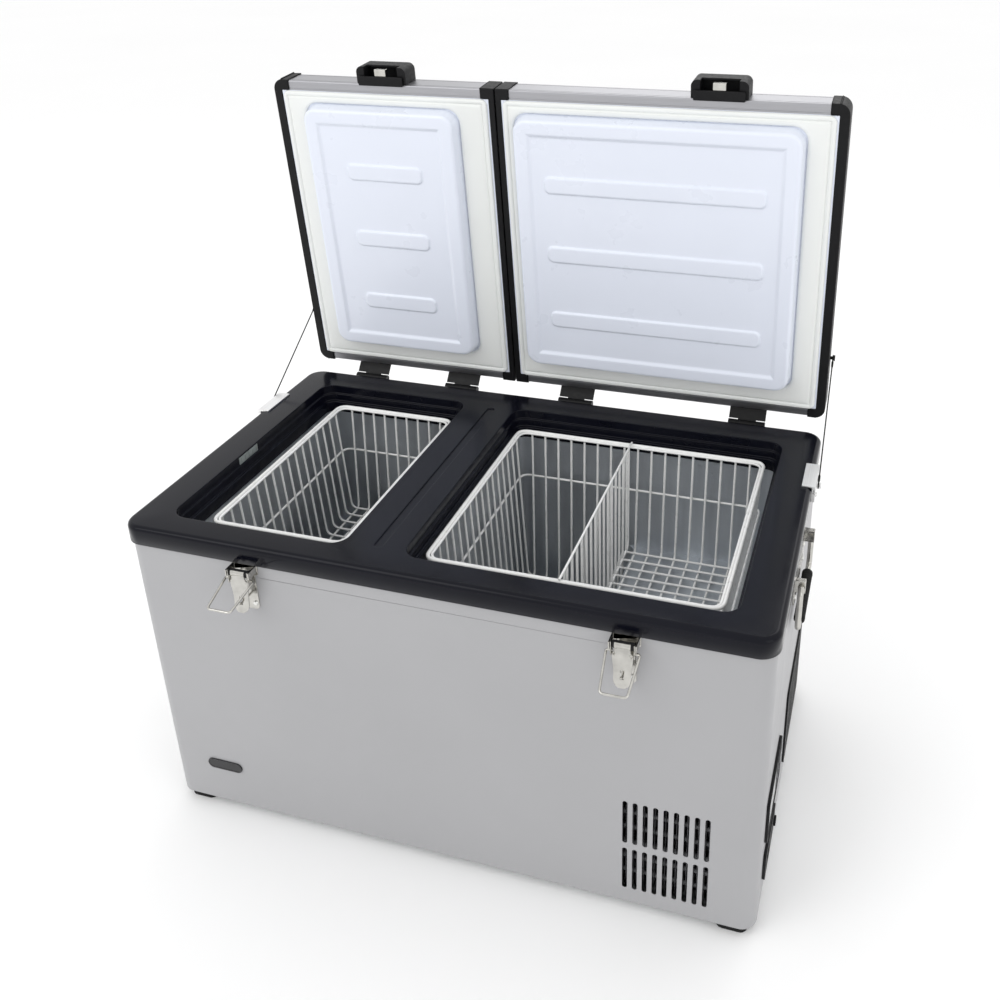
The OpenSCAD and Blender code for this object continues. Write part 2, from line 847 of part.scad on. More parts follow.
module rim_hinge_leaves() {
    wing = hinge_w / 2;
    for (s = [LEFT, RIGHT], x = hinge_x[s]) translate([x, 0, 0]) {
        color(soft_black) difference() {
            union() {
                translate([-wing, rim_d / 2, rim_z + 2]) cube([hinge_w, leaf_t, 20]);
                for (m = [0, 1]) mirror([m, 0, 0]) {
                    translate([leaf_core + 0.5, rim_d / 2 + 1, rim_z + 10])
                        cube([wing - leaf_core - 0.5, hinge_y - rim_d / 2 - 1, 7]);
                    translate([leaf_core + 0.5, hinge_y, hinge_z])
                        rotate([0, 90, 0]) cylinder(h = wing - leaf_core - 0.5, r = knuckle_r);
                }
            }
            translate([-wing - 1, hinge_y, hinge_z])
                rotate([0, 90, 0]) cylinder(h = hinge_w + 2, r = pin_r);
            for (k = leaf_screw_at)
                translate([k, rim_d / 2 - 1, leaf_screw_z])
                    rotate([-90, 0, 0]) cylinder(h = 6, r = screw_hole_r);
        }
        color(steel) translate([-wing, hinge_y, hinge_z]) rotate([0, 90, 0]) cylinder(h = hinge_w, r = pin_r);
    }
}

module stay_brackets() {
    len_y = 65;
    x1 = rim_w / 2;
    color(aluminium) for (m = [0, 1]) mirror([m, 0, 0]) difference() {
        union() {
            translate([x1 - 14, stay_y - len_y / 2, deck_z]) cube([19, len_y, 2.4]);
            translate([x1, stay_y - len_y / 2, deck_z - 22]) cube([5, len_y, 23]);
        }
        // Slot of the extruded section
        translate([x1 + 1.4, stay_y - len_y, deck_z - 9]) cube([2.2, 2 * len_y, 6]);
        translate([x1 + 3, stay_y - len_y, deck_z - 7.5]) cube([4, 2 * len_y, 3]);
        for (p = bracket_screws())
            translate([x1 - 1, p[0], p[1]]) rotate([0, 90, 0]) cylinder(h = 8, r = screw_hole_r);
    }
    // Stud that the cord's lower eye turns on
    color(steel)
        for (m = [0, 1]) mirror([m, 0, 0])
            translate([x1 + 5, stay_y, stay_low_z]) rotate([0, 90, 0]) {
                cylinder(h = 4, r = 2.5);
                translate([0, 0, 4]) cylinder(h = 1.6, r = 4.5);
            }
}

// Place of the lid stud with the lid turned to lid_open
function lid_point(y, z) = [
    hinge_y + (y - hinge_y) * cos(lid_open) + (z - hinge_z) * sin(lid_open),
    hinge_z - (y - hinge_y) * sin(lid_open) + (z - hinge_z) * cos(lid_open)
];

module stay_cord() {
    low = [rim_w / 2 + 7, stay_y, stay_low_z];
    top_yz = lid_point(stud_y, stud_z);
    top = [rim_w / 2 + 3.2, top_yz[0], top_yz[1]];
    u = (top - low) / norm(top - low);
    color([0.1, 0.1, 0.1]) {
        wire(low + u * 5, top - u * 5, stay_r);
        for (p = [low, top])
            translate(p) rotate([0, 90, 0]) difference() {
                cylinder(h = 2, r = 5.4, center = true);
                cylinder(h = 4, r = 2.6, center = true);
            }
    }
}

module right_stay_cord() {
    stay_cord();
}

module left_stay_cord() {
    mirror([1, 0, 0]) stay_cord();
}

module latch_bases() {
    for (x = latch_x) translate([x, 0, 0]) {
        color(steel) difference() {
            union() {
                translate([0, front_y - base_t / 2, rim_z - 4 - latch_plate[1] / 2])
                    on_front(base_t) rounded(latch_plate[0], latch_plate[1], 6);
                translate([0, front_y - base_t / 2, rim_z - 0.4 - latch_band[1] / 2])
                    on_front(base_t) rounded(latch_band[0], latch_band[1], 3);
                for (m = [0, 1]) mirror([m, 0, 0])
                    translate([lever_w / 2 + 0.5, lever_pivot[0] - 5, rim_z - 10])
                        cube([1.6, front_y - lever_pivot[0] + 4, 9.6]);
            }
            translate([-30, lever_pivot[0], lever_pivot[1]]) rotate([0, 90, 0]) cylinder(h = 60, r = 2);
            for (k = latch_screw_at)
                translate([k[0], front_y + 1, rim_z + k[1]])
                    rotate([90, 0, 0]) cylinder(h = 6, r = screw_hole_r);
        }
        // Pivot pin of the lever
        color(steel) translate([-lever_w / 2 - 2.4, lever_pivot[0], lever_pivot[1]])
            rotate([0, 90, 0]) cylinder(h = lever_w + 4.8, r = 2);
        // Padlock staple
        color(steel) translate([0, front_y - 1.6, staple_z]) {
            for (k = [-1, 1]) translate([0, 0, k * staple_r]) rotate([90, 0, 0]) cylinder(h = 18, r = 1.5);
            translate([0, -18, 0]) rotate([0, -90, 0]) rotate([0, 0, 90])
                rotate_extrude(angle = 180) translate([staple_r, 0]) circle(1.5);
        }
    }
}

// Lever plate: narrows below the barrel and flares again at the finger end
module lever_outline() {
    half = [[15, 29], [15, 8], [10.5, -6], [9.5, -14], [12, -27]];
    polygon(concat(half, [for (i = [len(half) - 1:-1:0]) [-half[i][0], half[i][1]]]));
}

// Lever, hanging down from its barrel, drawn for a latch centred on x = 0
module latch_lever() {
    face_y = lever_pivot[0] - 5;
    side_h = 20;
    color(steel) difference() {
        union() {
            translate([-lever_w / 2, lever_pivot[0], lever_pivot[1]])
                rotate([0, 90, 0]) cylinder(h = lever_w, r = 5);
            translate([0, face_y + lever_t / 2, lever_pivot[1] - lever_h / 2])
                on_front(lever_t)
                    lever_outline();
            for (m = [0, 1]) mirror([m, 0, 0])
                translate([lever_w / 2 - 1.5, face_y + 0.2, lever_pivot[1] - side_h])
                    cube([1.5, 9, side_h]);
        }
        translate([-lever_w, lever_pivot[0], lever_pivot[1]])
            rotate([0, 90, 0]) cylinder(h = 2 * lever_w, r = 2 + run_fit);
        translate([-lever_w, bail_pivot[0], bail_pivot[1]])
            rotate([0, 90, 0]) cylinder(h = 2 * lever_w, r = bail_wire_r + 0.08);
        // Window for the staple and cut-out over the barrel
        translate([0, face_y, staple_z]) on_front(12) slot_outline(6.4, 20);
        translate([-10, face_y - 1, lever_pivot[1] - 1.5]) cube([20, 3, 9]);
    }
}

module left_latch_lever() {
    translate([latch_x[LEFT], 0, 0]) latch_lever();
}

module right_latch_lever() {
    translate([latch_x[RIGHT], 0, 0]) latch_lever();
}

// Wire bail drawn hanging straight down, then swung out by its rest angle
module latch_bail(out) {
    a = bail_top_w / 2;
    b = bail_end_w / 2;
    bend = 5;
    tilt = atan2(a - b, bail_l);
    y = bail_pivot[0];
    z = bail_pivot[1];
    r = bail_wire_r;
    color(steel) translate([0, y, z]) rotate([-out, 0, 0]) {
        for (m = [0, 1]) mirror([m, 0, 0]) {
            translate([lever_w / 2 - 2.5, 0, 0]) rotate([0, 90, 0]) cylinder(h = a - lever_w / 2 + 2.5, r = r);
            wire([a, 0, 0.9], [b + 0.6, 0, -bail_l + bend], r);
            translate([b - bend + 0.6, 0, -bail_l + bend]) rotate([90, 0, 0]) rotate([0, 0, -90])
                rotate_extrude(angle = 90 + tilt) translate([bend, 0]) circle(r);
        }
        translate([-b + bend - 0.6, 0, -bail_l])
            rotate([0, 90, 0]) cylinder(h = 2 * (b - bend + 0.6), r = r);
    }
}

module left_latch_bail() {
    translate([latch_x[LEFT], 0, 0]) latch_bail(bail_out[LEFT]);
}

module right_latch_bail() {
    translate([latch_x[RIGHT], 0, 0]) latch_bail(bail_out[RIGHT]);
}

module handle_plates() {
    color(steel) for (m = [0, 1]) mirror([m, 0, 0]) {
        difference() {
            union() {
                translate([side_x + handle_plate[2] / 2, 0, handle_z - 12])
                    on_side(handle_plate[2]) rounded(handle_plate[0], handle_plate[1], 10);
                for (s = [-1, 1]) translate([side_x + 1, s * (handle_w / 2 - 15) - 4, handle_z - 9])
                    cube([14, 8, 18]);
            }
            for (p = handle_screws())
                translate([side_x - 1, p[0], p[1]]) rotate([0, 90, 0]) cylinder(h = 6, r = screw_hole_r);
            translate([handle_x, -handle_w, handle_z]) rotate([-90, 0, 0])
                cylinder(h = 2 * handle_w, r = handle_bar_r + run_fit);
        }
    }
}

// Steel bail of the right handle, hanging down
module handle_bail() {
    half = handle_w / 2;
    bend = 9;
    color(steel) translate([handle_x, 0, handle_z]) {
        for (m = [0, 1]) mirror([0, m, 0]) {
            translate([0, half - 21, 0]) rotate([-90, 0, 0]) cylinder(h = 21 - bend, r = handle_bar_r);
            translate([0, half - bend, -bend]) rotate([90, 0, 90])
                rotate_extrude(angle = 90) translate([bend, 0]) circle(handle_bar_r);
            translate([0, half, -handle_drop + bend]) cylinder(h = handle_drop - 2 * bend, r = handle_bar_r);
            translate([0, half - bend, -handle_drop + bend]) rotate([90, 0, 90]) rotate([0, 0, -90])
                rotate_extrude(angle = 90) translate([bend, 0]) circle(handle_bar_r);
        }
        translate([0, -half + bend, -handle_drop]) rotate([-90, 0, 0])
            cylinder(h = 2 * (half - bend), r = handle_bar_r);
    }
}

module handle_grip() {
    l = handle_w - 40;
    color(soft_black) translate([handle_x, -l / 2, handle_z - handle_drop])
        rotate([-90, 0, 0]) difference() {
            cylinder(h = l, r = handle_grip_r);
            translate([0, 0, -1]) cylinder(h = l + 2, r = handle_bar_r);
        }
}

module right_handle_bail() {
    handle_bail();
}

module right_handle_grip() {
    handle_grip();
}

module left_handle_bail() {
    mirror([1, 0, 0]) handle_bail();
}

module left_handle_grip() {
    mirror([1, 0, 0]) handle_grip();
}

// ---------- baskets ----------

// Upright wire from just under the rim wire at p to the floor point q
module upright(p, q) {
    loose_wire([p[0], p[1], p[2] - rim_wire_d / 2], q, wire_d / 2);
}

// Basket of one side, with its floor heights left and right of split_x
module basket(side, floor_left, floor_right, split_x) {
    x0 = basket_x[side][0];
    x1 = basket_x[side][1];
    y0 = basket_y[0];
    y1 = basket_y[1];
    rr = rim_wire_d / 2;
    wr = wire_d / 2;
    taper = basket_taper;
    zt = basket_z - rr;
    fx0 = x0 + rr + taper;
    fx1 = x1 - rr - taper;
    fy0 = y0 + rr + taper;
    fy1 = y1 - rr - taper;
    lift = wire_d + eps;
    wire_loop(x0 + rr, x1 - rr, y0 + rr, y1 - rr, zt, 12, rr);
    // Front and back uprights with the floor wires between them
    for (x = spread(x0 + basket_end, x1 - basket_end)) {
        f = (x < split_x) ? floor_left : floor_right;
        upright([x, y0 + rr, zt], [x, fy0, f]);
        upright([x, y1 - rr, zt], [x, fy1, f]);
        loose_wire([x, fy0 + wr, f], [x, fy1 - wr, f], wr);
    }
    // Side uprights with the cross wires above the floor wires
    for (y = spread(y0 + basket_end, y1 - basket_end)) {
        upright([x0 + rr, y, zt], [fx0, y, floor_left + lift]);
        upright([x1 - rr, y, zt], [fx1, y, floor_right + lift]);
        if (floor_left == floor_right) {
            loose_wire([fx0 + wr, y, floor_left + lift], [fx1 - wr, y, floor_left + lift], wr);
        } else {
            // Down the step between the two floors
            low = floor_left + lift;
            high = floor_right + lift;
            bend_x = split_x - 4;
            loose_wire([fx0 + wr, y, low], [bend_x, y, low], wr);
            loose_wire([bend_x + wr, y, low + wr], [bend_x + wr, y, high - wr], wr);
            loose_wire([bend_x, y, high], [fx1 - wr, y, high], wr);
        }
    }
    // Stiffening wire half way up, outside the uprights
    k = 0.42;
    out = wr + wr + eps;
    s = rr + taper * k - out;
    band_z = zt - k * (zt - max(floor_left, floor_right));
    wire_loop(x0 + s, x1 - s, y0 + s, y1 - s, band_z, 14, wr);
}

module left_basket() {
    color(wire_white) basket(LEFT, basket_shallow, basket_shallow, basket_x[LEFT][1]);
}

module right_basket() {
    color(wire_white) basket(RIGHT, basket_deep, basket_shallow, basket_split);
}

module basket_divider() {
    x = divider_x;
    r = 1.6;
    z0 = basket_shallow + 12;
    top_z = basket_z + r + 0.2;
    y0 = basket_y[0] + 20;
    y1 = basket_y[1] - 20;
    color(wire_white) {
        // Top wire rests on the front and back rim wires
        loose_wire([x, basket_y[0] + 1, top_z], [x, basket_y[1] - 1, top_z], r);
        loose_wire([x, y0, z0], [x, y1, z0], r);
        for (y = spread(y0 + 3, y1 - 3)) loose_wire([x, y, z0 + r], [x, y, top_z - r], wire_d / 2);
    }
}

// ---------- lids, drawn closed ----------

module open_lid() {
    translate([0, hinge_y, hinge_z]) rotate([-lid_open, 0, 0]) translate([0, -hinge_y, -hinge_z]) children();
}

// Inner faces of a lid's two caps
function cap_edge(s) =
    (s == LEFT)
        ? [lid_x[s][0] + cap_outer, lid_x[s][1] - cap_inner]
        : [lid_x[s][0] + cap_inner, lid_x[s][1] - cap_outer];

module lid_panel(s) {
    e = cap_edge(s);
    y0 = lid_y0 + cap_skin + bar_w;
    y1 = lid_y1 - cap_skin - bar_w;
    color(paint_grey) open_lid()
        translate([e[0], y0, lid_z1 - cap_skin - panel_t]) cube([e[1] - e[0], y1 - y0, panel_t]);
}

module lid_bars(s) {
    e = cap_edge(s);
    h = lid_h - 2 * cap_skin;
    color(aluminium) open_lid()
        for (y = [lid_y0 + cap_skin, lid_y1 - cap_skin - bar_w])
            translate([e[0], y, lid_z0 + cap_skin]) difference() {
                cube([e[1] - e[0], bar_w, h]);
                translate([-1, bar_wall, bar_wall])
                    cube([e[1] - e[0] + 2, bar_w - 2 * bar_wall, h - 2 * bar_wall]);
            }
}

// Outline of one lid: a slice of the outline of both lids together
module lid_outline(s, g, x0, x1) {
    intersection() {
        translate([0, (lid_y0 + lid_y1) / 2]) rounded(rim_w - 2 + 2 * g, lid_l + 2 * g, lid_r + g);
        translate([x0, lid_y0 - 10]) square([x1 - x0, lid_l + 20]);
    }
}

module lid_caps(s) {
    e = cap_edge(s);
    z0 = lid_z0;
    ends = [[lid_x[s][0], e[0], e[0] + cap_sleeve], [lid_x[s][1], e[1], e[1] - cap_sleeve]];
    color(soft_black) open_lid()
        for (k = ends) {
            a = min(k[0], k[1]);
            b = max(k[0], k[1]);
            sa = min(k[1], k[2]);
            sb = max(k[1], k[2]);
            hollow_a = (k[0] < k[1]) ? a + cap_wall : a - 1;
            hollow_b = (k[0] < k[1]) ? b + 1 : b - cap_wall;
            difference() {
                union() {
                    translate([0, 0, z0]) linear_extrude(lid_h) lid_outline(s, 0, a, b);
                    for (y = [lid_y0, lid_y1 - bar_w - cap_skin])
                        translate([sa - 0.1, y, z0]) cube([sb - sa + 0.2, bar_w + cap_skin, lid_h]);
                }
                translate([0, 0, z0 + cap_wall])
                    linear_extrude(lid_h - 2 * cap_wall) lid_outline(s, -cap_wall, hollow_a, hollow_b);
                // Room for the bars inside the sleeves
                translate([min(k[1], k[2]) - (k[0] < k[1] ? 0 : 1), lid_y0 + cap_skin, z0 + cap_skin])
                    cube([cap_sleeve + 1, lid_l - 2 * cap_skin, lid_h - 2 * cap_skin]);
            }
        }
}

// Plug outline at its base, shrunk by g
module plug_outline(s, g) {
    translate([opening_x0[s] + opening_w[s] / 2, plug_y])
        rounded(opening_w[s] - 2 * (plug_clear + g), plug_d - 2 * g, max(3, opening_r - plug_clear - g));
}

module plug_solid(s, g) {
    hull() {
        translate([0, 0, lid_z0 + 2.99]) linear_extrude(0.01) plug_outline(s, g);
        translate([0, 0, lid_z0 + 3 - 8]) linear_extrude(0.01) plug_outline(s, g + 1.5);
        translate([0, 0, lid_z0 - plug_h + 4]) linear_extrude(0.01) plug_outline(s, g + plug_taper - 2.5);
        translate([0, 0, lid_z0 - plug_h]) linear_extrude(0.01) plug_outline(s, g + plug_taper + 1);
    }
}

module lid_liner(s) {
    e = cap_edge(s);
    y0 = lid_y0 + cap_skin + bar_w;
    y1 = lid_y1 - cap_skin - bar_w;
    z_low = lid_z0 - plug_h;
    color(liner_white) open_lid() {
        difference() {
            union() {
                translate([e[0], y0, lid_z0 + 1]) cube([e[1] - e[0], y1 - y0, liner_t]);
                plug_solid(s, 0);
            }
            // Hollow of the plug, filled with foam
            translate([0, 0, 6]) plug_solid(s, liner_t);
            // Recessed field under the plug
            translate([0, 0, z_low - 1]) linear_extrude(recess_t + 1) plug_outline(s, plug_taper + recess_in);
        }
        for (y = rib_y)
            translate([(rib_x[s][0] + rib_x[s][1]) / 2, y, z_low + 0.4])
                linear_extrude(recess_t - 0.4) rounded(rib_x[s][1] - rib_x[s][0], rib_w, 9);
    }
}

module lid_gasket(s) {
    e = cap_edge(s);
    y0 = lid_y0 + cap_skin + bar_w + 0.5;
    y1 = lid_y1 - cap_skin - bar_w - 0.5;
    z0 = deck_z + gasket_gap;
    w = e[1] - e[0] - 5;
    color(gasket_white) open_lid() difference() {
        union() {
            translate([(e[0] + e[1]) / 2, (y0 + y1) / 2, z0 + 1.4])
                linear_extrude(lid_z0 + 1 - z0 - 1.4) rounded(w, y1 - y0, 8);
            translate([(e[0] + e[1]) / 2, (y0 + y1) / 2, z0])
                linear_extrude(1.4) rounded(w - 3, y1 - y0 - 3, 7);
        }
        translate([0, 0, z0 - 1]) linear_extrude(10) plug_outline(s, -0.8);
    }
}

module lid_foam(s) {
    e = cap_edge(s);
    y0 = lid_y0 + cap_skin + bar_w;
    y1 = lid_y1 - cap_skin - bar_w;
    z0 = lid_z0 + 1 + liner_t;
    color(foam_cream) open_lid() {
        translate([e[0], y0, z0]) cube([e[1] - e[0], y1 - y0, lid_z1 - cap_skin - panel_t - z0]);
        translate([0, 0, 6]) plug_solid(s, liner_t);
    }
}

// Hinge leaves with their screws, and the stud for the stay cord
module lid_hardware(s) {
    wing = hinge_w / 2;
    y1 = lid_y1 - cap_skin;
    run = [y1 + leaf_t / 2 - hinge_y, lid_z0 + 5 - hinge_z];
    web_l = norm(run);
    web_a = atan2(run[1], run[0]);
    open_lid() {
        for (x = hinge_x[s]) translate([x, 0, 0]) {
            color(soft_black) difference() {
                union() {
                    translate([-wing, y1, lid_z0 + 4]) cube([hinge_w, leaf_t, 30]);
                    translate([0, hinge_y, hinge_z]) rotate([web_a, 0, 0]) {
                        translate([-wing, 7.5, -leaf_t / 2]) cube([hinge_w, web_l - 7.5, leaf_t]);
                        translate([-leaf_core, 2, -leaf_t / 2]) cube([2 * leaf_core, 6, leaf_t]);
                    }
                    translate([-leaf_core, hinge_y, hinge_z])
                        rotate([0, 90, 0]) cylinder(h = 2 * leaf_core, r = knuckle_r);
                }
                translate([-wing, hinge_y, hinge_z])
                    rotate([0, 90, 0]) cylinder(h = hinge_w, r = pin_r + run_fit);
            }
            color(steel) for (k = lid_screw_at) translate([k, y1 + leaf_t, lid_z0 + 20])
                rotate([-90, 0, 0]) cylinder(h = 1.8, r1 = 3.6, r2 = 2.6);
        }
        outer = (s == LEFT) ? -1 : 1;
        color(steel) translate([outer * (rim_w / 2 - 1), stud_y, stud_z]) rotate([0, outer * 90, 0]) {
            cylinder(h = 6, r = 2.5);
            translate([0, 0, 5.4]) cylinder(h = 1.8, r = 4.6);
        }
    }
}

// Keeper housing on the front bar: open below, with a window at the front
module keeper(s) {
    w = keeper_w;
    y0 = lid_y0 - keeper_out;
    y1 = lid_y0 + cap_skin;
    color(soft_black) open_lid() translate([latch_x[s], 0, 0]) difference() {
        translate([0, 0, lid_z0 + 2]) linear_extrude(lid_h - 6) union() {
            translate([0, (y0 + y1) / 2]) rounded(w, y1 - y0, 9);
            translate([-w / 2, y1 - 12]) square([w, 12]);
        }
        translate([-27, y0 + 3, lid_z0]) cube([54, y1 - y0 - 5, 27]);
        translate([-27, y0 - 1, lid_z0]) cube([54, 6, 15]);
        translate([-13, y1 - 3, lid_z0]) cube([26, 4, 27]);
    }
}

module keeper_hook(s) {
    y1 = lid_y0 + cap_skin;
    t = 1.6;
    color(steel) open_lid() translate([latch_x[s], 0, 0]) {
        translate([-12, y1 - t, lid_z0 + 0.4]) cube([24, t, 24]);
        translate([-hook_w / 2, y1 - hook_l, lid_z0 + 0.4]) cube([hook_w, hook_l, t]);
        translate([-hook_w / 2, y1 - hook_l, lid_z0 + 0.4]) cube([hook_w, t, 7.6]);
    }
}

module left_lid_panel() { lid_panel(LEFT); }
module left_lid_bars() { lid_bars(LEFT); }
module left_lid_caps() { lid_caps(LEFT); }
module left_lid_liner() { lid_liner(LEFT); }
module left_lid_gasket() { lid_gasket(LEFT); }
module left_lid_foam() { lid_foam(LEFT); }
module left_lid_hardware() { lid_hardware(LEFT); }
module left_keeper() { keeper(LEFT); }
module left_keeper_hook() { keeper_hook(LEFT); }
module right_lid_panel() { lid_panel(RIGHT); }
module right_lid_bars() { lid_bars(RIGHT); }
module right_lid_caps() { lid_caps(RIGHT); }
module right_lid_liner() { lid_liner(RIGHT); }
module right_lid_gasket() { lid_gasket(RIGHT); }
module right_lid_foam() { lid_foam(RIGHT); }
module right_lid_hardware() { lid_hardware(RIGHT); }
module right_keeper() { keeper(RIGHT); }
module right_keeper_hook() { keeper_hook(RIGHT); }

cabinet_shell();
base_plate();
feet();
machine_bulkhead();
top_rim();
foam_insulation();
left_tub();
right_tub();
evaporator_coils();
compressor();
compressor_mounts();
condenser();
fan_shroud();
fan_rotor();
refrigerant_lines();
control_module();
control_panel();
display_window();
power_button();
temperature_rocker();
power_inlets();
side_grille();
badge();
interior_lamp();
stay_brackets();
left_stay_cord();
right_stay_cord();
rim_hinge_leaves();
latch_bases();
left_latch_lever();
left_latch_bail();
right_latch_lever();
right_latch_bail();
handle_plates();
left_handle_bail();
left_handle_grip();
right_handle_bail();
right_handle_grip();
screws();
left_basket();
right_basket();
basket_divider();
left_lid_panel();
left_lid_bars();
left_lid_caps();
left_lid_liner();
left_lid_gasket();
left_lid_foam();
left_lid_hardware();
left_keeper();
left_keeper_hook();
right_lid_panel();
right_lid_bars();
right_lid_caps();
right_lid_liner();
right_lid_gasket();
right_lid_foam();
right_lid_hardware();
right_keeper();
right_keeper_hook();
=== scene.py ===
import json
import math

import bmesh
import bpy
from mathutils import Matrix, Vector


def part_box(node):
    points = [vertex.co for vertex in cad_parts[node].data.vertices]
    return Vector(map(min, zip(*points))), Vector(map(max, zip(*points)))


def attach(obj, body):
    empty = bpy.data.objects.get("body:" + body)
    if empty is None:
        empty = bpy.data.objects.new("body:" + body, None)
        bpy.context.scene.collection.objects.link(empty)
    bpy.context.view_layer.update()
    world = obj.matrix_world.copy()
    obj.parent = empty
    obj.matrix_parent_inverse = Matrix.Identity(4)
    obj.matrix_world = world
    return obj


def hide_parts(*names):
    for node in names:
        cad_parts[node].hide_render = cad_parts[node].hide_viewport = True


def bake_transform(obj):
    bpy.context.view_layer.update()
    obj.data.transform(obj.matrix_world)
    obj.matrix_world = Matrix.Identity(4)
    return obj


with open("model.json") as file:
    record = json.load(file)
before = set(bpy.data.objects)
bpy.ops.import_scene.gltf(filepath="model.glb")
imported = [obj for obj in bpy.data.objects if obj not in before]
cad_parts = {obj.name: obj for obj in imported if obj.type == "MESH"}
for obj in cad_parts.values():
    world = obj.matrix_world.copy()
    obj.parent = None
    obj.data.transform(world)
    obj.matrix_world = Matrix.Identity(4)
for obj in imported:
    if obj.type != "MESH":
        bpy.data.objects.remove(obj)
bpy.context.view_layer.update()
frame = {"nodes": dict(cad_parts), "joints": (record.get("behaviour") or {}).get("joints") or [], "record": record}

MM = 0.001
SIDES = ("left", "right")
LEFT_OF = {"left": -1, "right": 1}
BODY_OF = {n: body for body, names in frame["record"]["behaviour"]["bodies"].items() for n in names}
JOINTS = {j["name"]: j for j in frame["joints"]}

# Places read from the frame
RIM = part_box("top_rim")
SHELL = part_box("cabinet_shell")
DECK_Z = RIM[1].z
RIM_Z = SHELL[1].z
OPENING = {s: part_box(s + "_tub") for s in SIDES}
HINGE = Vector(JOINTS["left_lid_hinge"]["pos_m"])


# ---------- camera, light and floor ----------

def make_camera():
    azimuth, elevation, roll = (math.radians(a) for a in (17.08, 23.98, -0.68))
    back = Vector((math.sin(azimuth) * math.cos(elevation), -math.cos(azimuth) * math.cos(elevation),
                   math.sin(elevation)))
    right = (-back).cross(Vector((0, 0, 1))).normalized()
    up = right.cross(-back)
    turned_right = right * math.cos(roll) + up * math.sin(roll)
    turned_up = up * math.cos(roll) - right * math.sin(roll)
    data = bpy.data.cameras.new("camera")
    data.lens = 38.17
    data.sensor_width = 36
    data.shift_x = -0.0809
    data.shift_y = -0.1468
    data.clip_end = 100
    camera = bpy.data.objects.new("camera", data)
    camera.matrix_world = Matrix((turned_right, turned_up, back)).transposed().to_4x4()
    camera.location = (0.5026, -1.2141, 1.2542)
    bpy.context.scene.collection.objects.link(camera)
    bpy.context.scene.camera = camera


def soft_light(name, place, aim, size, power):
    data = bpy.data.lights.new(name, "AREA")
    data.shape = "RECTANGLE"
    data.size, data.size_y = size
    data.energy = power
    light = bpy.data.objects.new(name, data)
    light.location = place
    light.rotation_mode = "QUATERNION"
    light.rotation_quaternion = (Vector(aim) - Vector(place)).to_track_quat("-Z", "Y")
    bpy.context.scene.collection.objects.link(light)


WORLD = 1.02
FLOOR_HALF = 30.0


def make_studio():
    world = bpy.data.worlds.new("studio")
    world.use_nodes = True
    world.node_tree.nodes["Background"].inputs["Color"].default_value = (1.0, 1.0, 1.0, 1)
    world.node_tree.nodes["Background"].inputs["Strength"].default_value = WORLD
    bpy.context.scene.world = world
    soft_light("key_light", (-1.6, -2.2, 2.6), (0, 0, 0.5), (1.8, 1.8), 20)
    soft_light("fill_light", (2.6, -1.8, 1.4), (0, 0, 0.5), (1.4, 1.8), 6)
    soft_light("back_light", (0.2, 2.4, 2.6), (0, 0, 0.6), (2.4, 1.2), 14)
    bpy.context.scene.view_settings.view_transform = "Standard"

    bm = bmesh.new()
    signs = ((-1, -1), (1, -1), (1, 1), (-1, 1))
    corners = [bm.verts.new((x * FLOOR_HALF, y * FLOOR_HALF, 0)) for x, y in signs]
    bm.faces.new(corners)
    floor = new_object("floor", bm)
    pale = Finish("floor_pale", (0.97, 0.97, 0.97), 0.85)
    pale.mottle(0.6, 0.008)
    floor.data.materials.append(pale.material)


# ---------- materials ----------

def from_screen(r, g, b):
    """Linear colour of a screen colour given in 0..255."""
    return tuple(((c / 255 + 0.055) / 1.055) ** 2.4 if c > 10 else c / 255 / 12.92 for c in (r, g, b))


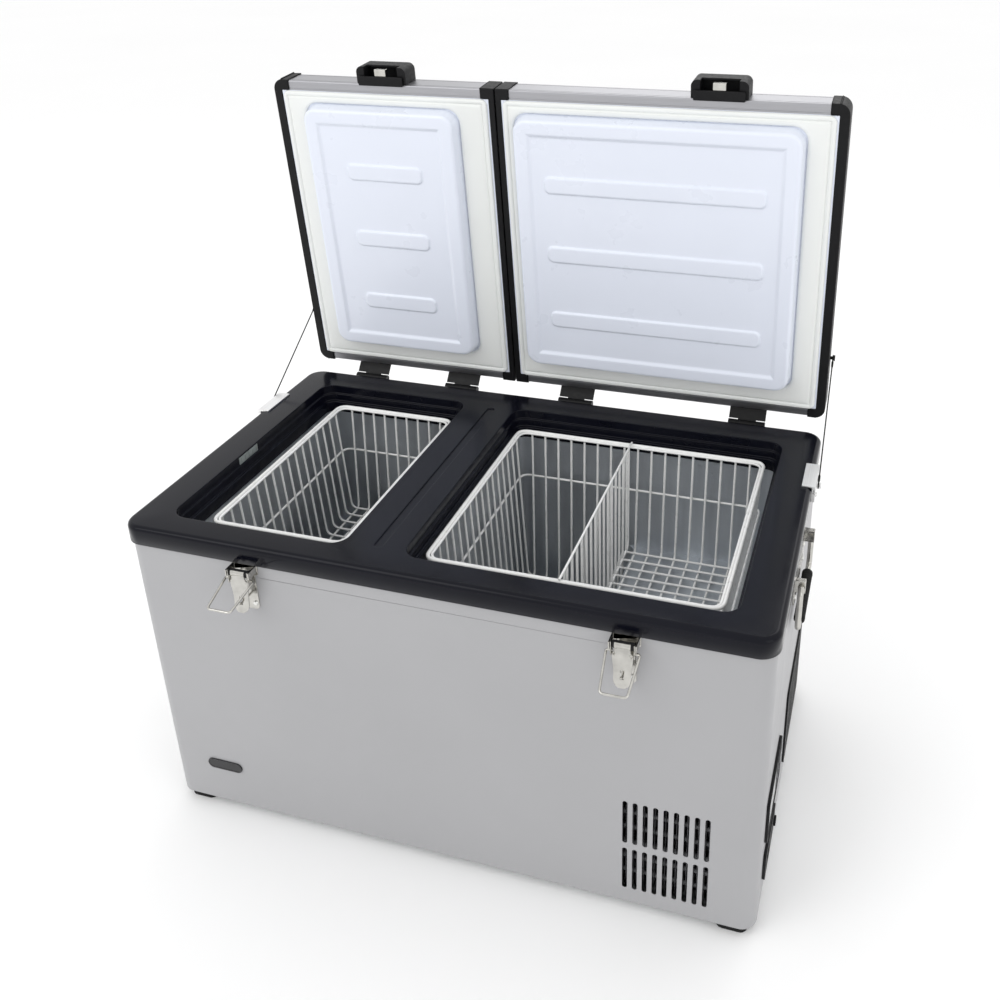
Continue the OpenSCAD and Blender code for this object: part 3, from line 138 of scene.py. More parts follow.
class Finish:
    """A material: one Principled shader and the nodes that vary its colour, gloss and surface."""

    def __init__(self, name, colour, roughness, metallic=0.0, specular=0.5, **sockets):
        self.material = bpy.data.materials.new(name)
        self.material.use_nodes = True
        self.tree = self.material.node_tree
        self.shader = self.tree.nodes["Principled BSDF"]
        self.colour = colour
        self.shader.inputs["Base Color"].default_value = (*colour, 1)
        self.shader.inputs["Roughness"].default_value = roughness
        self.shader.inputs["Metallic"].default_value = metallic
        self.shader.inputs["Specular IOR Level"].default_value = specular
        for socket, value in sockets.items():
            self.shader.inputs[socket.replace("_", " ").title()].default_value = value
        self.place = self.add("ShaderNodeTexCoord").outputs["Object"]
        self.bumped = None

    def add(self, kind, **values):
        node = self.tree.nodes.new(kind)
        for key, value in values.items():
            setattr(node, key, value)
        return node

    def stretched(self, x, y, z):
        mapping = self.add("ShaderNodeMapping")
        mapping.inputs["Scale"].default_value = (x, y, z)
        self.tree.links.new(self.place, mapping.inputs["Vector"])
        return mapping.outputs["Vector"]

    def noise(self, scale, detail=3, where=None):
        node = self.add("ShaderNodeTexNoise")
        node.inputs["Scale"].default_value = scale
        node.inputs["Detail"].default_value = detail
        self.tree.links.new(where or self.place, node.inputs["Vector"])
        return node.outputs["Fac"]

    def cells(self, scale, feature="F1", output="Distance", where=None):
        node = self.add("ShaderNodeTexVoronoi", feature=feature)
        node.inputs["Scale"].default_value = scale
        self.tree.links.new(where or self.place, node.inputs["Vector"])
        return node.outputs[output]

    def ranged(self, source, low, high, from_low=0.3, from_high=0.7):
        node = self.add("ShaderNodeMapRange")
        limits = (("From Min", from_low), ("From Max", from_high), ("To Min", low), ("To Max", high))
        for socket, value in limits:
            node.inputs[socket].default_value = value
        self.tree.links.new(source, node.inputs["Value"])
        return node.outputs["Result"]

    def mottle(self, scale, amount, tint=None, source=None):
        """Varies the colour between darker and lighter, or towards tint."""
        mix = self.add("ShaderNodeMix", data_type="RGBA")
        dark = tuple(c * (1 - amount) for c in self.colour)
        light = tint or tuple(min(1.0, c * (1 + amount)) for c in self.colour)
        mix.inputs["A"].default_value = (*dark, 1)
        mix.inputs["B"].default_value = (*light, 1)
        self.tree.links.new(self.ranged(source or self.noise(scale), 0, 1), mix.inputs["Factor"])
        self.tree.links.new(mix.outputs["Result"], self.shader.inputs["Base Color"])
        return self

    def gloss(self, scale, low, high, source=None):
        varied = self.ranged(source or self.noise(scale, 5), low, high)
        self.tree.links.new(varied, self.shader.inputs["Roughness"])
        return self

    def bump(self, source, depth, strength=1.0):
        node = self.add("ShaderNodeBump")
        node.inputs["Distance"].default_value = depth
        node.inputs["Strength"].default_value = strength
        self.tree.links.new(source, node.inputs["Height"])
        if self.bumped:
            self.tree.links.new(self.bumped, node.inputs["Normal"])
        self.bumped = node.outputs["Normal"]
        self.tree.links.new(self.bumped, self.shader.inputs["Normal"])
        return self


def painted(name, colour):
    """Satin powder coat with a fine orange peel."""
    f = Finish(name, colour, 0.42, coat_weight=0.12, coat_roughness=0.3)
    f.mottle(5, 0.018).gloss(30, 0.38, 0.48)
    return f.bump(f.noise(650, 2), 0.00006, 0.5)


def gloss_rim():
    f = Finish("rim_gloss", from_screen(11, 12, 21), 0.2, specular=0.16)
    f.mottle(14, 0.18).gloss(9, 0.14, 0.24)
    return f.bump(f.noise(160, 2), 0.00005, 0.35)


def textured_black(name, colour=from_screen(15, 15, 17), low=0.42, high=0.58):
    """Moulded black plastic with a fine spark-eroded grain."""
    f = Finish(name, colour, 0.5, specular=0.22)
    f.mottle(60, 0.15).gloss(220, low, high)
    return f.bump(f.noise(1500, 3), 0.00006, 0.7)


def rubber(name):
    f = Finish(name, from_screen(18, 18, 19), 0.75, specular=0.3)
    f.mottle(40, 0.2).gloss(120, 0.68, 0.85)
    return f.bump(f.noise(900, 4), 0.00008, 0.6)


def stucco_aluminium():
    """Embossed sheet of the tubs: small dimples, a faint vertical banding and dull patches."""
    f = Finish("tub_stucco", (0.47, 0.49, 0.52), 0.38, 0.85)
    f.mottle(9, 0.16, (0.60, 0.63, 0.66), f.noise(24, 4, f.stretched(1, 1, 0.12)))
    f.gloss(14, 0.32, 0.5)
    f.bump(f.cells(300, "SMOOTH_F1"), 0.0005, 0.6)
    return f.bump(f.noise(40, 2, f.stretched(1, 1, 0.15)), 0.0008, 0.35)


def brushed(name, colour, along, low=0.3, high=0.42):
    """Satin metal with a grain along x or y."""
    squeeze = {"x": (2, 160, 160), "y": (160, 2, 160), "z": (160, 160, 2)}[along]
    f = Finish(name, colour, 0.35, 1.0)
    grain = f.noise(8, 4, f.stretched(*squeeze))
    f.mottle(1, 0.06, source=grain).gloss(1, low, high, source=grain)
    return f.bump(grain, 0.00004, 0.5)


def nickel(name, colour=(0.52, 0.51, 0.48), low=0.12, high=0.24):
    """Nickel plate, faintly clouded and scuffed."""
    f = Finish(name, colour, 0.18, 1.0)
    f.mottle(70, 0.12).gloss(110, low, high)
    return f.bump(f.noise(500, 3), 0.00004, 0.35)


def spangled(name):
    """Galvanised sheet with its flakes of zinc."""
    f = Finish(name, (0.55, 0.57, 0.58), 0.42, 0.9)
    f.mottle(1, 0.18, source=f.cells(110, output="Color"))
    f.gloss(1, 0.32, 0.55, source=f.cells(110, output="Color"))
    return f.bump(f.noise(300, 2), 0.00004, 0.4)


def soft_white(name, colour, low, high, coat=0.0):
    f = Finish(name, colour, 0.3, coat_weight=coat, coat_roughness=0.15)
    f.mottle(6, 0.012).gloss(20, low, high)
    return f.bump(f.noise(70, 2), 0.00012, 0.25)


def coated_wire():
    f = Finish("wire_white", from_screen(238, 238, 236), 0.3, coat_weight=0.3, coat_roughness=0.2)
    f.mottle(45, 0.03).gloss(90, 0.24, 0.38)
    return f.bump(f.noise(260, 2), 0.0001, 0.4)


def foam():
    f = Finish("foam_cream", (0.80, 0.68, 0.38), 0.9)
    f.mottle(70, 0.12).gloss(50, 0.85, 0.95)
    return f.bump(f.cells(420), 0.0006, 0.8)


def copper():
    f = Finish("copper_tube", (0.72, 0.36, 0.20), 0.3, 1.0)
    f.mottle(40, 0.25).gloss(60, 0.22, 0.5)
    return f.bump(f.noise(300, 2), 0.00004, 0.3)


def plain(name, colour, low, high, **sockets):
    """Small moulded or enamelled parts."""
    f = Finish(name, colour, low, **sockets)
    f.mottle(50, 0.08).gloss(70, low, high)
    return f.bump(f.noise(600, 2), 0.00005, 0.4)


def circuit_board():
    f = Finish("board_green", (0.02, 0.14, 0.06), 0.45)
    f.mottle(1, 0.45, source=f.cells(240, output="Color")).gloss(90, 0.35, 0.55)
    return f.bump(f.cells(500), 0.0002, 0.5)


FINISH = {
    "paint": painted("cabinet_paint_grey", from_screen(163, 163, 165)),
    "lid_paint": painted("lid_paint_grey", from_screen(163, 163, 165)),
    "rim": gloss_rim(),
    "black": textured_black("moulded_black"),
    "hinge": textured_black("hinge_black_coat", from_screen(13, 13, 14), 0.35, 0.5),
    "fan": textured_black("fan_black"),
    "rubber": rubber("black_rubber"),
    "cord": rubber("cord_black_coat"),
    "tub": stucco_aluminium(),
    "coil": brushed("coil_aluminium_satin", (0.70, 0.71, 0.72), "x"),
    "bar": brushed("bar_aluminium_satin", (0.40, 0.40, 0.42), "x", 0.34, 0.46),
    "bracket": brushed("bracket_aluminium_satin", (0.84, 0.84, 0.84), "y"),
    "fin": brushed("fin_aluminium", (0.20, 0.20, 0.21), "z", 0.4, 0.55),
    "nickel": nickel("latch_nickel"),
    "screw": nickel("screw_zinc", (0.68, 0.68, 0.66), 0.25, 0.4),
    "zinc": spangled("galvanised_spangle"),
    "liner": soft_white("liner_white", from_screen(226, 231, 243), 0.26, 0.36, 0.25),
    "gasket": soft_white("gasket_off_white", from_screen(232, 234, 232), 0.5, 0.62),
    "wire": coated_wire(),
    "foam": foam(),
    "copper": copper(),
    "compressor": plain("compressor_enamel", from_screen(20, 20, 22), 0.25, 0.4, coat_weight=0.4),
    "board": circuit_board(),
    "display": plain("display_smoked", (0.006, 0.009, 0.014), 0.06, 0.12, coat_weight=0.5),
    "button": plain("button_grey", (0.07, 0.07, 0.075), 0.3, 0.4),
    "rocker": plain("rocker_grey", (0.10, 0.10, 0.11), 0.4, 0.5),
    "badge": plain("badge_gloss_black", (0.012, 0.012, 0.014), 0.12, 0.2),
    "lens": plain("lamp_lens_frosted", from_screen(150, 158, 156), 0.25, 0.4, transmission_weight=0.3),
    # Near-black painted shade: stands for the shadow inside the lever heads' rolled tops
    "hollow": plain("hollow_black", (0.004, 0.004, 0.005), 0.8, 0.9),
}


# ---------- mesh helpers ----------

def new_object(name, bm):
    mesh = bpy.data.meshes.new(name)
    bm.to_mesh(mesh)
    bm.free()
    obj = bpy.data.objects.new(name, mesh)
    bpy.context.scene.collection.objects.link(obj)
    return obj


def shade(obj, angle=35):
    obj.data.polygons.foreach_set("use_smooth", [True] * len(obj.data.polygons))
    obj.data.set_sharp_from_angle(angle=math.radians(angle))


def settle(obj, nodes, finishes):
    """Gives a finished piece its materials and its body, and hides the CAD nodes that it stands for."""
    for name in finishes:
        obj.data.materials.append(FINISH[name].material)
    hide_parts(*nodes)
    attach(obj, BODY_OF[nodes[0]])
    return obj


def piece(name, bm, slot, nodes, *finishes, angle=35):
    bmesh.ops.recalc_face_normals(bm, faces=bm.faces)
    obj = new_object(name, bm)
    shade(obj, angle)
    return settle(obj, nodes, finishes)


def extent(points):
    """Lowest and highest corner of the box round some points."""
    return (Vector(min(p[k] for p in points) for k in range(3)),
            Vector(max(p[k] for p in points) for k in range(3)))


def islands(bm):
    """Connected groups of faces, each with its lowest and highest corner."""
    left = set(bm.faces)
    while left:
        stack = [left.pop()]
        group = []
        while stack:
            face = stack.pop()
            group.append(face)
            for edge in face.edges:
                for other in edge.link_faces:
                    if other in left:
                        left.remove(other)
                        stack.append(other)
        yield group, *extent([v.co for f in group for v in f.verts])


def softened(node, name, slot, *finishes, width=0.5 * MM, segments=2, pick=None, extra=None):
    """A copy of a CAD node with its sharp edges rounded. pick(low, high) chooses a finish for each solid."""
    bm = bmesh.new()
    bm.from_mesh(frame["nodes"][node].data)
    bmesh.ops.remove_doubles(bm, verts=bm.verts, dist=0.004 * MM)
    bmesh.ops.dissolve_limit(bm, angle_limit=math.radians(0.6), verts=bm.verts, edges=bm.edges)
    for face in bm.faces:
        face.material_index = 0
    if pick:
        for group, low, high in islands(bm):
            index = pick(low, high)
            for face in group:
                face.material_index = index
    if extra:
        extra(bm)
    obj = new_object(name, bm)
    obj.data.materials.clear()
    if width:
        bevel = obj.modifiers.new("bevel", "BEVEL")
        bevel.width = width
        bevel.segments = segments
        bevel.limit_method = "ANGLE"
        bevel.angle_limit = math.radians(38)
        bevel.use_clamp_overlap = False
        bevel.harden_normals = True
    shade(obj, 40)
    return settle(obj, [node], finishes)


def filleted(points, radius, steps=4, closed=False):
    """A polyline whose corners are rounded with short curves."""
    points = [Vector(p) for p in points]
    out = []
    count = len(points)
    for i, p in enumerate(points):
        if not closed and i in (0, count - 1):
            out.append(p)
            continue
        before, after = points[i - 1], points[(i + 1) % count]
        reach = min(radius, (p - before).length * 0.49, (after - p).length * 0.49)
        a = p + (before - p).normalized() * reach
        b = p + (after - p).normalized() * reach
        for k in range(steps + 1):
            t = k / steps
            out.append(a * (1 - t) ** 2 + p * 2 * t * (1 - t) + b * t * t)
    return out


def tube(bm, path, radius, sides=10, closed=False, index=0):
    """Sweeps a circle along a path. radius may be a list, one for each point."""
    count = len(path)
    radii = radius if isinstance(radius, list) else [radius] * count
    rings = []
    normal = None
    for i, p in enumerate(path):
        ahead = path[(i + 1) % count] if closed or i < count - 1 else p
        behind = path[i - 1] if closed or i > 0 else p
        tangent = (ahead - behind).normalized()
        if normal is None:
            normal = tangent.orthogonal().normalized()
        normal = (normal - tangent * normal.dot(tangent)).normalized()
        side = tangent.cross(normal)
        rings.append([
            bm.verts.new(p + (normal * math.cos(a) + side * math.sin(a)) * radii[i])
            for a in (2 * math.pi * k / sides for k in range(sides))
        ])
    if closed:
        # Start the last joint at the vertex nearest to the first ring's
        shift = min(range(sides), key=lambda k: (rings[-1][k].co - rings[0][0].co).length)
        last = rings[-1][shift:] + rings[-1][:shift]
    made = []
    for a, b in zip(rings, rings[1:]):
        made += [bm.faces.new((a[k], a[(k + 1) % sides], b[(k + 1) % sides], b[k])) for k in range(sides)]
    if closed:
        made += [
            bm.faces.new((last[k], last[(k + 1) % sides], rings[0][(k + 1) % sides], rings[0][k]))
            for k in range(sides)
        ]
    else:
        made.append(bm.faces.new(rings[0][::-1]))
        made.append(bm.faces.new(rings[-1]))
    for face in made:
        face.material_index = index
    return made


def rounded(x0, x1, y0, y1, z, r, steps=8):
    """Corner-rounded rectangle at height z, as a list of points."""
    out = []
    corners = ((x1 - r, y1 - r, 0), (x0 + r, y1 - r, 90), (x0 + r, y0 + r, 180), (x1 - r, y0 + r, 270))
    for cx, cy, start in corners:
        for i in range(steps + 1):
            a = math.radians(start + 90 * i / steps)
            out.append(Vector((cx + r * math.cos(a), cy + r * math.sin(a), z)))
    return out


def inset_ring(low, high, inset, z, r, steps=8):
    """The outline of a box, pulled in by inset, with corner radius r before the inset."""
    return rounded(low.x + inset, high.x - inset, low.y + inset, high.y - inset, z,
                   max(r - inset, 0.3 * MM), steps)


def loft(bm, rings, index=0):
    """Joins rings of points with quads and returns the first and last ring's vertices."""
    made = [[bm.verts.new(p) for p in ring] for ring in rings]
    for a, b in zip(made, made[1:]):
        for k in range(len(a)):
            j = (k + 1) % len(a)
            bm.faces.new((a[k], a[j], b[j], b[k])).material_index = index
    return made[0], made[-1]


def cap(bm, *loops, index=0):
    """Fills the flat area between loops of vertices."""
    edges = []
    for loop in loops:
        for k in range(len(loop)):
            edge = bm.edges.get((loop[k - 1], loop[k])) or bm.edges.new((loop[k - 1], loop[k]))
            edges.append(edge)
    result = bmesh.ops.triangle_fill(bm, use_beauty=True, use_dissolve=False, edges=edges)
    for item in result["geom"]:
        if isinstance(item, bmesh.types.BMFace):
            item.material_index = index


def block(bm, low, high, r=0.8 * MM, index=0, axis="z"):
    """A box with all its edges rounded, made of rings along one axis."""
    order = {"z": (0, 1, 2), "y": (2, 0, 1), "x": (1, 2, 0)}[axis]
    lo = Vector([low[k] for k in order])
    hi = Vector([high[k] for k in order])
    rings = []
    for z0, sign in ((lo.z, 1), (hi.z, -1)):
        part = []
        for i in range(4):
            a = math.pi / 2 * i / 3
            rise = sign * r * (1 - math.cos(a))
            part.append(inset_ring(lo, hi, r * (1 - math.sin(a)), z0 + rise, r * 1.6, 3))
        rings += part if sign == 1 else part[::-1]
    back = [order.index(k) for k in range(3)]
    rings = [[Vector([p[k] for k in back]) for p in ring] for ring in rings]
    first, last = loft(bm, rings, index)
    bm.faces.new(first[::-1]).material_index = index
    bm.faces.new(last).material_index = index


def lathe(bm, centre, axis, profile, sides=32, index=0):
    """Turns (distance along axis, radius) points about an axis through centre, closed at both ends."""
    axis = Vector(axis).normalized()
    u = axis.orthogonal().normalized()
    v = axis.cross(u)
    rings = [
        [centre + axis * d + (u * math.cos(a) + v * math.sin(a)) * r
         for a in (2 * math.pi * k / sides for k in range(sides))]
        for d, r in profile
    ]
    first, last = loft(bm, rings, index)
    bm.faces.new(first[::-1]).material_index = index
    bm.faces.new(last).material_index = index


def profile_fillet(points, radius, steps=3):
    """Rounds the corners of a profile of (inset, height) pairs."""
    return [(p.x, p.y) for p in filleted([Vector((a, b, 0)) for a, b in points], radius, steps)]


# ---------- cabinet ----------

RIM_EDGE = 7 * MM
RIM_WALL = 5.5 * MM
RIM_R = 26 * MM
OPENING_R = 22 * MM
DECK_T = 3 * MM


# Section of the rim's stepped openings: how far in from the mouth and how far below the deck, in mm
RIM_STEPS = [(-2.2, 0), (0, 0), (0, -14), (3, -14), (3, -26), (8, -26), (8, -44), (5, -44), (5, -28),
             (-3, -28), (-3, -3)]


def build_rim():
    bm = bmesh.new()
    low, high = RIM
    # Outside wall with its rounded upper edge, from the inner lower edge up to the deck
    wall = [(RIM_WALL, DECK_Z - DECK_T), (RIM_WALL, RIM_Z), (1 * MM, RIM_Z), (0, RIM_Z + 1 * MM),
            (0, DECK_Z - RIM_EDGE)]
    bend = [
        (RIM_EDGE * (1 - math.cos(a)), DECK_Z - RIM_EDGE + RIM_EDGE * math.sin(a))
        for a in (math.pi / 2 * i / 7 for i in range(1, 8))
    ]
    under_rim, deck_rim = loft(bm, [inset_ring(low, high, i, z, RIM_R, 12) for i, z in wall + bend])
    deck_loops, under_loops = [deck_rim], [under_rim]
    profile = profile_fillet([(i * MM, DECK_Z + z * MM) for i, z in RIM_STEPS], 1.7 * MM)
    for side in SIDES:
        rings = [inset_ring(*OPENING[side], i, z, OPENING_R) for i, z in profile]
        first, last = loft(bm, rings)
        deck_loops.append(first)
        under_loops.append(last)
    # Drip channel along the bridge
    middle = Vector((-81 * MM, (OPENING["left"][0].y + OPENING["left"][1].y) / 2, 0))
    reach = (OPENING["left"][1].y - OPENING["left"][0].y) / 2 - 8 * MM
    lo, hi = middle - Vector((6 * MM, reach, 0)), middle + Vector((6 * MM, reach, 0))
    bed = DECK_Z - 2 * MM
    groove = profile_fillet([(-1.5 * MM, DECK_Z), (0, DECK_Z), (0.4 * MM, bed), (3 * MM, bed)], 0.8 * MM)
    first, last = loft(bm, [inset_ring(lo, hi, i, z, 5.9 * MM) for i, z in groove])
    deck_loops.append(first)
    bm.faces.new(last)
    cap(bm, *deck_loops)
    cap(bm, *under_loops)
    # Lugs that carry the baskets
    for side in SIDES:
        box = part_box(side + "_basket")
        top = box[1].z - 2 * RIM_WIRE - 0.2 * MM
        wires = spread(box[0].x + BASKET_END, box[1].x - BASKET_END)
        for x in ((wires[0] + wires[1]) / 2, (wires[-1] + wires[-2]) / 2):
            for wall_y, tip in ((OPENING[side][0].y + 7 * MM, box[0].y + LUG_REACH),
                                (OPENING[side][1].y - 7 * MM, box[1].y - LUG_REACH)):
                y0, y1 = sorted((wall_y, tip))
                block(bm, (x - 6 * MM, y0, top - 8 * MM), (x + 6 * MM, y1, top), 1 * MM)
    piece("rim_moulding", bm, "rim_plastic", ["top_rim"], "rim", angle=50)


def build_lamp():
    low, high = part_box("interior_lamp")
    bm = bmesh.new()
    block(bm, low, high + Vector((0.2 * MM, 0, 0)), 0.5 * MM)
    for i in range(5):
        y = low.y + (i + 0.5) * (high.y - low.y) / 5
        block(bm, (high.x - 0.4 * MM, y - 1.2 * MM, low.z + 2 * MM),
              (high.x + 0.5 * MM, y + 1.2 * MM, high.z - 2 * MM), 0.4 * MM)
    piece("lamp_lens_ribbed", bm, "lamp_lens", ["interior_lamp"], "lens")


# ---------- baskets ----------

WIRE_PITCH = 21 * MM
BASKET_END = 24 * MM
TAPER = 13 * MM
RIM_WIRE = 2.7 * MM
WIRE = 1.8 * MM
LIFT = 3.62 * MM
LUG_REACH = 2.3 * MM
BEND = 11 * MM
SPLIT_X = 144 * MM


def spread(a, b):
    n = max(2, round((b - a) / WIRE_PITCH))
    return [a + (b - a) * i / n for i in range(n + 1)]


def flat_loop(x0, x1, y0, y1, z, r):
    return filleted([(x0, y0, z), (x1, y0, z), (x1, y1, z), (x0, y1, z)], r, 6, closed=True)


# How far down its side a basket has its middle hoop
HOOP_AT = 0.42


def build_basket(side):
    low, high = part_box(side + "_basket")
    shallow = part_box("left_basket")[0].z + WIRE
    deep = low.z + WIRE
    zt = high.z - RIM_WIRE
    x0, x1 = low.x + RIM_WIRE, high.x - RIM_WIRE
    y0, y1 = low.y + RIM_WIRE, high.y - RIM_WIRE
    bm = bmesh.new()
    tube(bm, flat_loop(x0, x1, y0, y1, zt, 16 * MM), RIM_WIRE, 12, closed=True)
    inner = 4.3 * MM
    tube(bm, flat_loop(x0 + inner, x1 - inner, y0 + inner, y1 - inner, zt - 1.2 * MM, 14 * MM), WIRE, 10,
         closed=True)
    for x in spread(low.x + BASKET_END, high.x - BASKET_END):
        f = deep if x < SPLIT_X or side == "left" else shallow
        path = [(x, y0 + 1 * MM, zt - 1 * MM), (x, y0 + TAPER, f), (x, y1 - TAPER, f),
                (x, y1 - 1 * MM, zt - 1 * MM)]
        tube(bm, filleted(path, BEND, 5), WIRE)
    for y in spread(low.y + BASKET_END, high.y - BASKET_END):
        path = [(x0 + 1 * MM, y, zt - 1 * MM), (x0 + TAPER, y, deep + LIFT)]
        if side == "right":
            path += [(SPLIT_X, y, deep + LIFT), (SPLIT_X, y, shallow + LIFT)]
        path += [(x1 - TAPER, y, shallow + LIFT), (x1 - 1 * MM, y, zt - 1 * MM)]
        tube(bm, filleted(path, BEND, 5), WIRE)
    s = TAPER * HOOP_AT - 2 * WIRE
    hoop_z = zt - HOOP_AT * (zt - shallow)
    tube(bm, flat_loop(x0 + s, x1 - s, y0 + s, y1 - s, hoop_z, 16 * MM), WIRE, 10, closed=True)
    piece(side + "_basket_wires", bm, "wire_coating", [side + "_basket"], "wire", angle=80)


def build_divider():
    low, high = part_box("basket_divider")
    r = 1.6 * MM
    x = (low.x + high.x) / 2
    top, base = high.z - r, low.z + r
    y0, y1 = low.y + 20 * MM, high.y - 20 * MM
    bm = bmesh.new()
    ends = (low.y, low.y + 2 * MM, high.y - 2 * MM, high.y)
    tube(bm, [Vector((x, y, top)) for y in ends], [r * 0.7, r, r, r * 0.7], 12)
    tube(bm, filleted([(x, y0, top), (x, y0, base), (x, y1, base), (x, y1, top)], 9 * MM, 5), r, 12)
    for y in spread(y0 + 12 * MM, y1 - 12 * MM):
        tube(bm, [Vector((x, y, base)), Vector((x, y, top))], WIRE)
    piece("divider_wires", bm, "wire_coating", ["basket_divider"], "wire", angle=80)


# ---------- lids, shaped closed and then turned open ----------

LID_ANGLE = math.radians(JOINTS["left_lid_hinge"]["range_deg"][0])
LID_TURN = Matrix.Translation(HINGE) @ Matrix.Rotation(LID_ANGLE, 4, "X") @ Matrix.Translation(-HINGE)
LID_BACK = LID_TURN.inverted()
PLUG_Y = (-208 * MM, 204 * MM)


def closed_box(node):
    """Box of a lid's CAD node while the lid is shut."""
    return extent([LID_BACK @ v.co for v in frame["nodes"][node].data.vertices])


def plug_area(side):
    """The part of an opening that the lid's plug fills."""
    low, high = OPENING[side]
    return Vector((low.x, PLUG_Y[0], low.z)), Vector((high.x, PLUG_Y[1], high.z))


RIBS_Y = (-106 * MM, 4 * MM, 114 * MM)
RIB_END = {"left": (68 * MM, 63 * MM), "right": (50 * MM, 50 * MM)}
RIB_HALF = 13 * MM


def build_liner(side):
    low, high = closed_box(side + "_lid_liner")
    hole = plug_area(side)
    base = high.z - 2 * MM
    face = low.z
    field = face + 3 * MM
    bm = bmesh.new()
    flange = [inset_ring(low, high, i, z, 1.5 * MM) for i, z in ((0, high.z), (0, base))]
    turns = [math.pi / 2 * i / 6 for i in range(1, 7)]
    wall = [(2.2, base), (2.6, base - 1 * MM), (5.2, face + 5.5 * MM)]
    bend = [(5.2 + 5.5 * (1 - math.cos(a)), face + 5.5 * MM * (1 - math.sin(a))) for a in turns]
    ease = [(25 + 7 * i / 6, face + 3 * MM * (0.5 - 0.5 * math.cos(math.pi * i / 6))) for i in range(7)]
    edge = wall + bend + [(12, face), (22, face)] + ease + [(33.5, field)]
    plug = [inset_ring(*hole, i * MM, z, OPENING_R + 4 * MM) for i, z in edge]
    top, rim = loft(bm, flange + plug)
    bm.faces.new(top)
    loops = [rim]
    x0, x1 = hole[0].x + RIB_END[side][0], hole[1].x - RIB_END[side][1]
    for y in RIBS_Y:
        lo, hi = Vector((x0, y - RIB_HALF, 0)), Vector((x1, y + RIB_HALF, 0))
        dome = [(-3, 0), (-1.4, 0), (-0.5, 0.25), (0.2, 1.0), (0.9, 1.9), (2.0, 2.45), (3.6, 2.6), (5, 2.6)]
        first, last = loft(bm, [inset_ring(lo, hi, i * MM, field - d * MM, 9 * MM) for i, d in dome])
        bm.faces.new(last)
        loops.append(first)
    cap(bm, *loops)
    bm.transform(LID_TURN)
    piece(side + "_liner_moulding", bm, "liner_plastic", [side + "_lid_liner"], "liner", angle=60)


def build_gasket(side):
    low, high = closed_box(side + "_lid_gasket")
    hole = plug_area(side)
    z0 = low.z
    outside = [(0, 4.7), (0, 2.6), (0.5, 1.5), (1.6, 0.7), (3.6, 0.3), (5.6, 0.7), (6.8, 1.6), (7.4, 2.4),
               (8.0, 1.6), (9.4, 0.6), (11.5, 0.1)]
    inside = [(-6.5, 0.0), (-4.0, 0.2), (-1.8, 0.8), (-0.6, 1.8), (0, 3.0), (0, 4.7)]
    bm = bmesh.new()
    rings = [inset_ring(low, high, i * MM, z0 + d * MM, 9 * MM) for i, d in outside]
    rings += [inset_ring(*hole, (1.0 + i) * MM, z0 + d * MM, OPENING_R) for i, d in inside]
    first, last = loft(bm, rings)
    for k in range(len(first)):
        j = (k + 1) % len(first)
        bm.faces.new((last[k], last[j], first[j], first[k]))
    bm.transform(LID_TURN)
    piece(side + "_gasket_pillow", bm, "gasket_foam", [side + "_lid_gasket"], "gasket", angle=50)


def bar_outline(w, h):
    """Section of a lid bar, outer edge at 0: rounded outer edges and two shallow grooves."""
    r, g = 2.0 * MM, 0.7 * MM
    corner = [(r - r * math.cos(a), r - r * math.sin(a)) for a in (math.pi / 2 * i / 4 for i in range(5))]
    out = [(w, 0)]
    out += [(w - 2.4 * MM, 0), (w - 2.4 * MM, g), (w - 3.4 * MM, g), (w - 3.4 * MM, 0)]
    out += [(x, y) for x, y in corner[::-1]]
    out += [(0, 5 * MM), (g, 5 * MM), (g, 6 * MM), (0, 6 * MM)]
    out += [(0, h - 6 * MM), (g, h - 6 * MM), (g, h - 5 * MM), (0, h - 5 * MM)]
    out += [(x, h - y) for x, y in corner]
    return out + [(w, h)]


def build_bars(side):
    low, high = closed_box(side + "_lid_bars")
    w = 14.5 * MM
    outline = bar_outline(w, high.z - low.z)
    bm = bmesh.new()
    for y, sign in ((low.y, 1), (high.y, -1)):
        rings = [[Vector((x, y + sign * a, low.z + b)) for a, b in outline] for x in (low.x, high.x)]
        first, last = loft(bm, rings)
        bm.faces.new(first)
        bm.faces.new(last)
    bm.transform(LID_TURN)
    piece(side + "_bar_sections", bm, "bar_aluminium", [side + "_lid_bars"], "bar", angle=30)


def build_panel(side):
    """Outer skin of a lid, crowned by a hair so that it doesn't read as a cut-out."""
    low, high = closed_box(side + "_lid_panel")
    bm = bmesh.new()
    edge = [(0, 0), (0, 1.0), (0.2, 1.2)]
    field = [(14, 1.2), (17, 0.7), (20, 0.7), (23, 1.2)]
    rings = [inset_ring(low, high, i * MM, low.z + d * MM, 4 * MM) for i, d in edge + field]
    first, last = loft(bm, rings)
    bm.faces.new(first)
    bm.faces.new(last)
    bm.transform(LID_TURN)
    piece(side + "_lid_skin", bm, "lid_paint", [side + "_lid_panel"], "lid_paint", angle=50)


def keeper_lip(side):
    """Lip along the lower edge of a keeper, in front of its hook."""
    low, high = closed_box(side + "_keeper")
    hook = closed_box(side + "_keeper_hook")[0]

    def add(bm):
        lip = bmesh.new()
        block(lip, (low.x + 4 * MM, hook.y + 10 * MM, hook.z - 3 * MM),
              (high.x - 4 * MM, high.y + 2 * MM, hook.z - 0.2 * MM), 1 * MM)
        bmesh.ops.recalc_face_normals(lip, faces=lip.faces)
        lip.transform(LID_TURN)
        mesh = bpy.data.meshes.new("lip")
        lip.to_mesh(mesh)
        lip.free()
        bm.from_mesh(mesh)
        bpy.data.meshes.remove(mesh)

    return add


def is_small(limit):
    return lambda low, high: int(max(high - low) < limit)


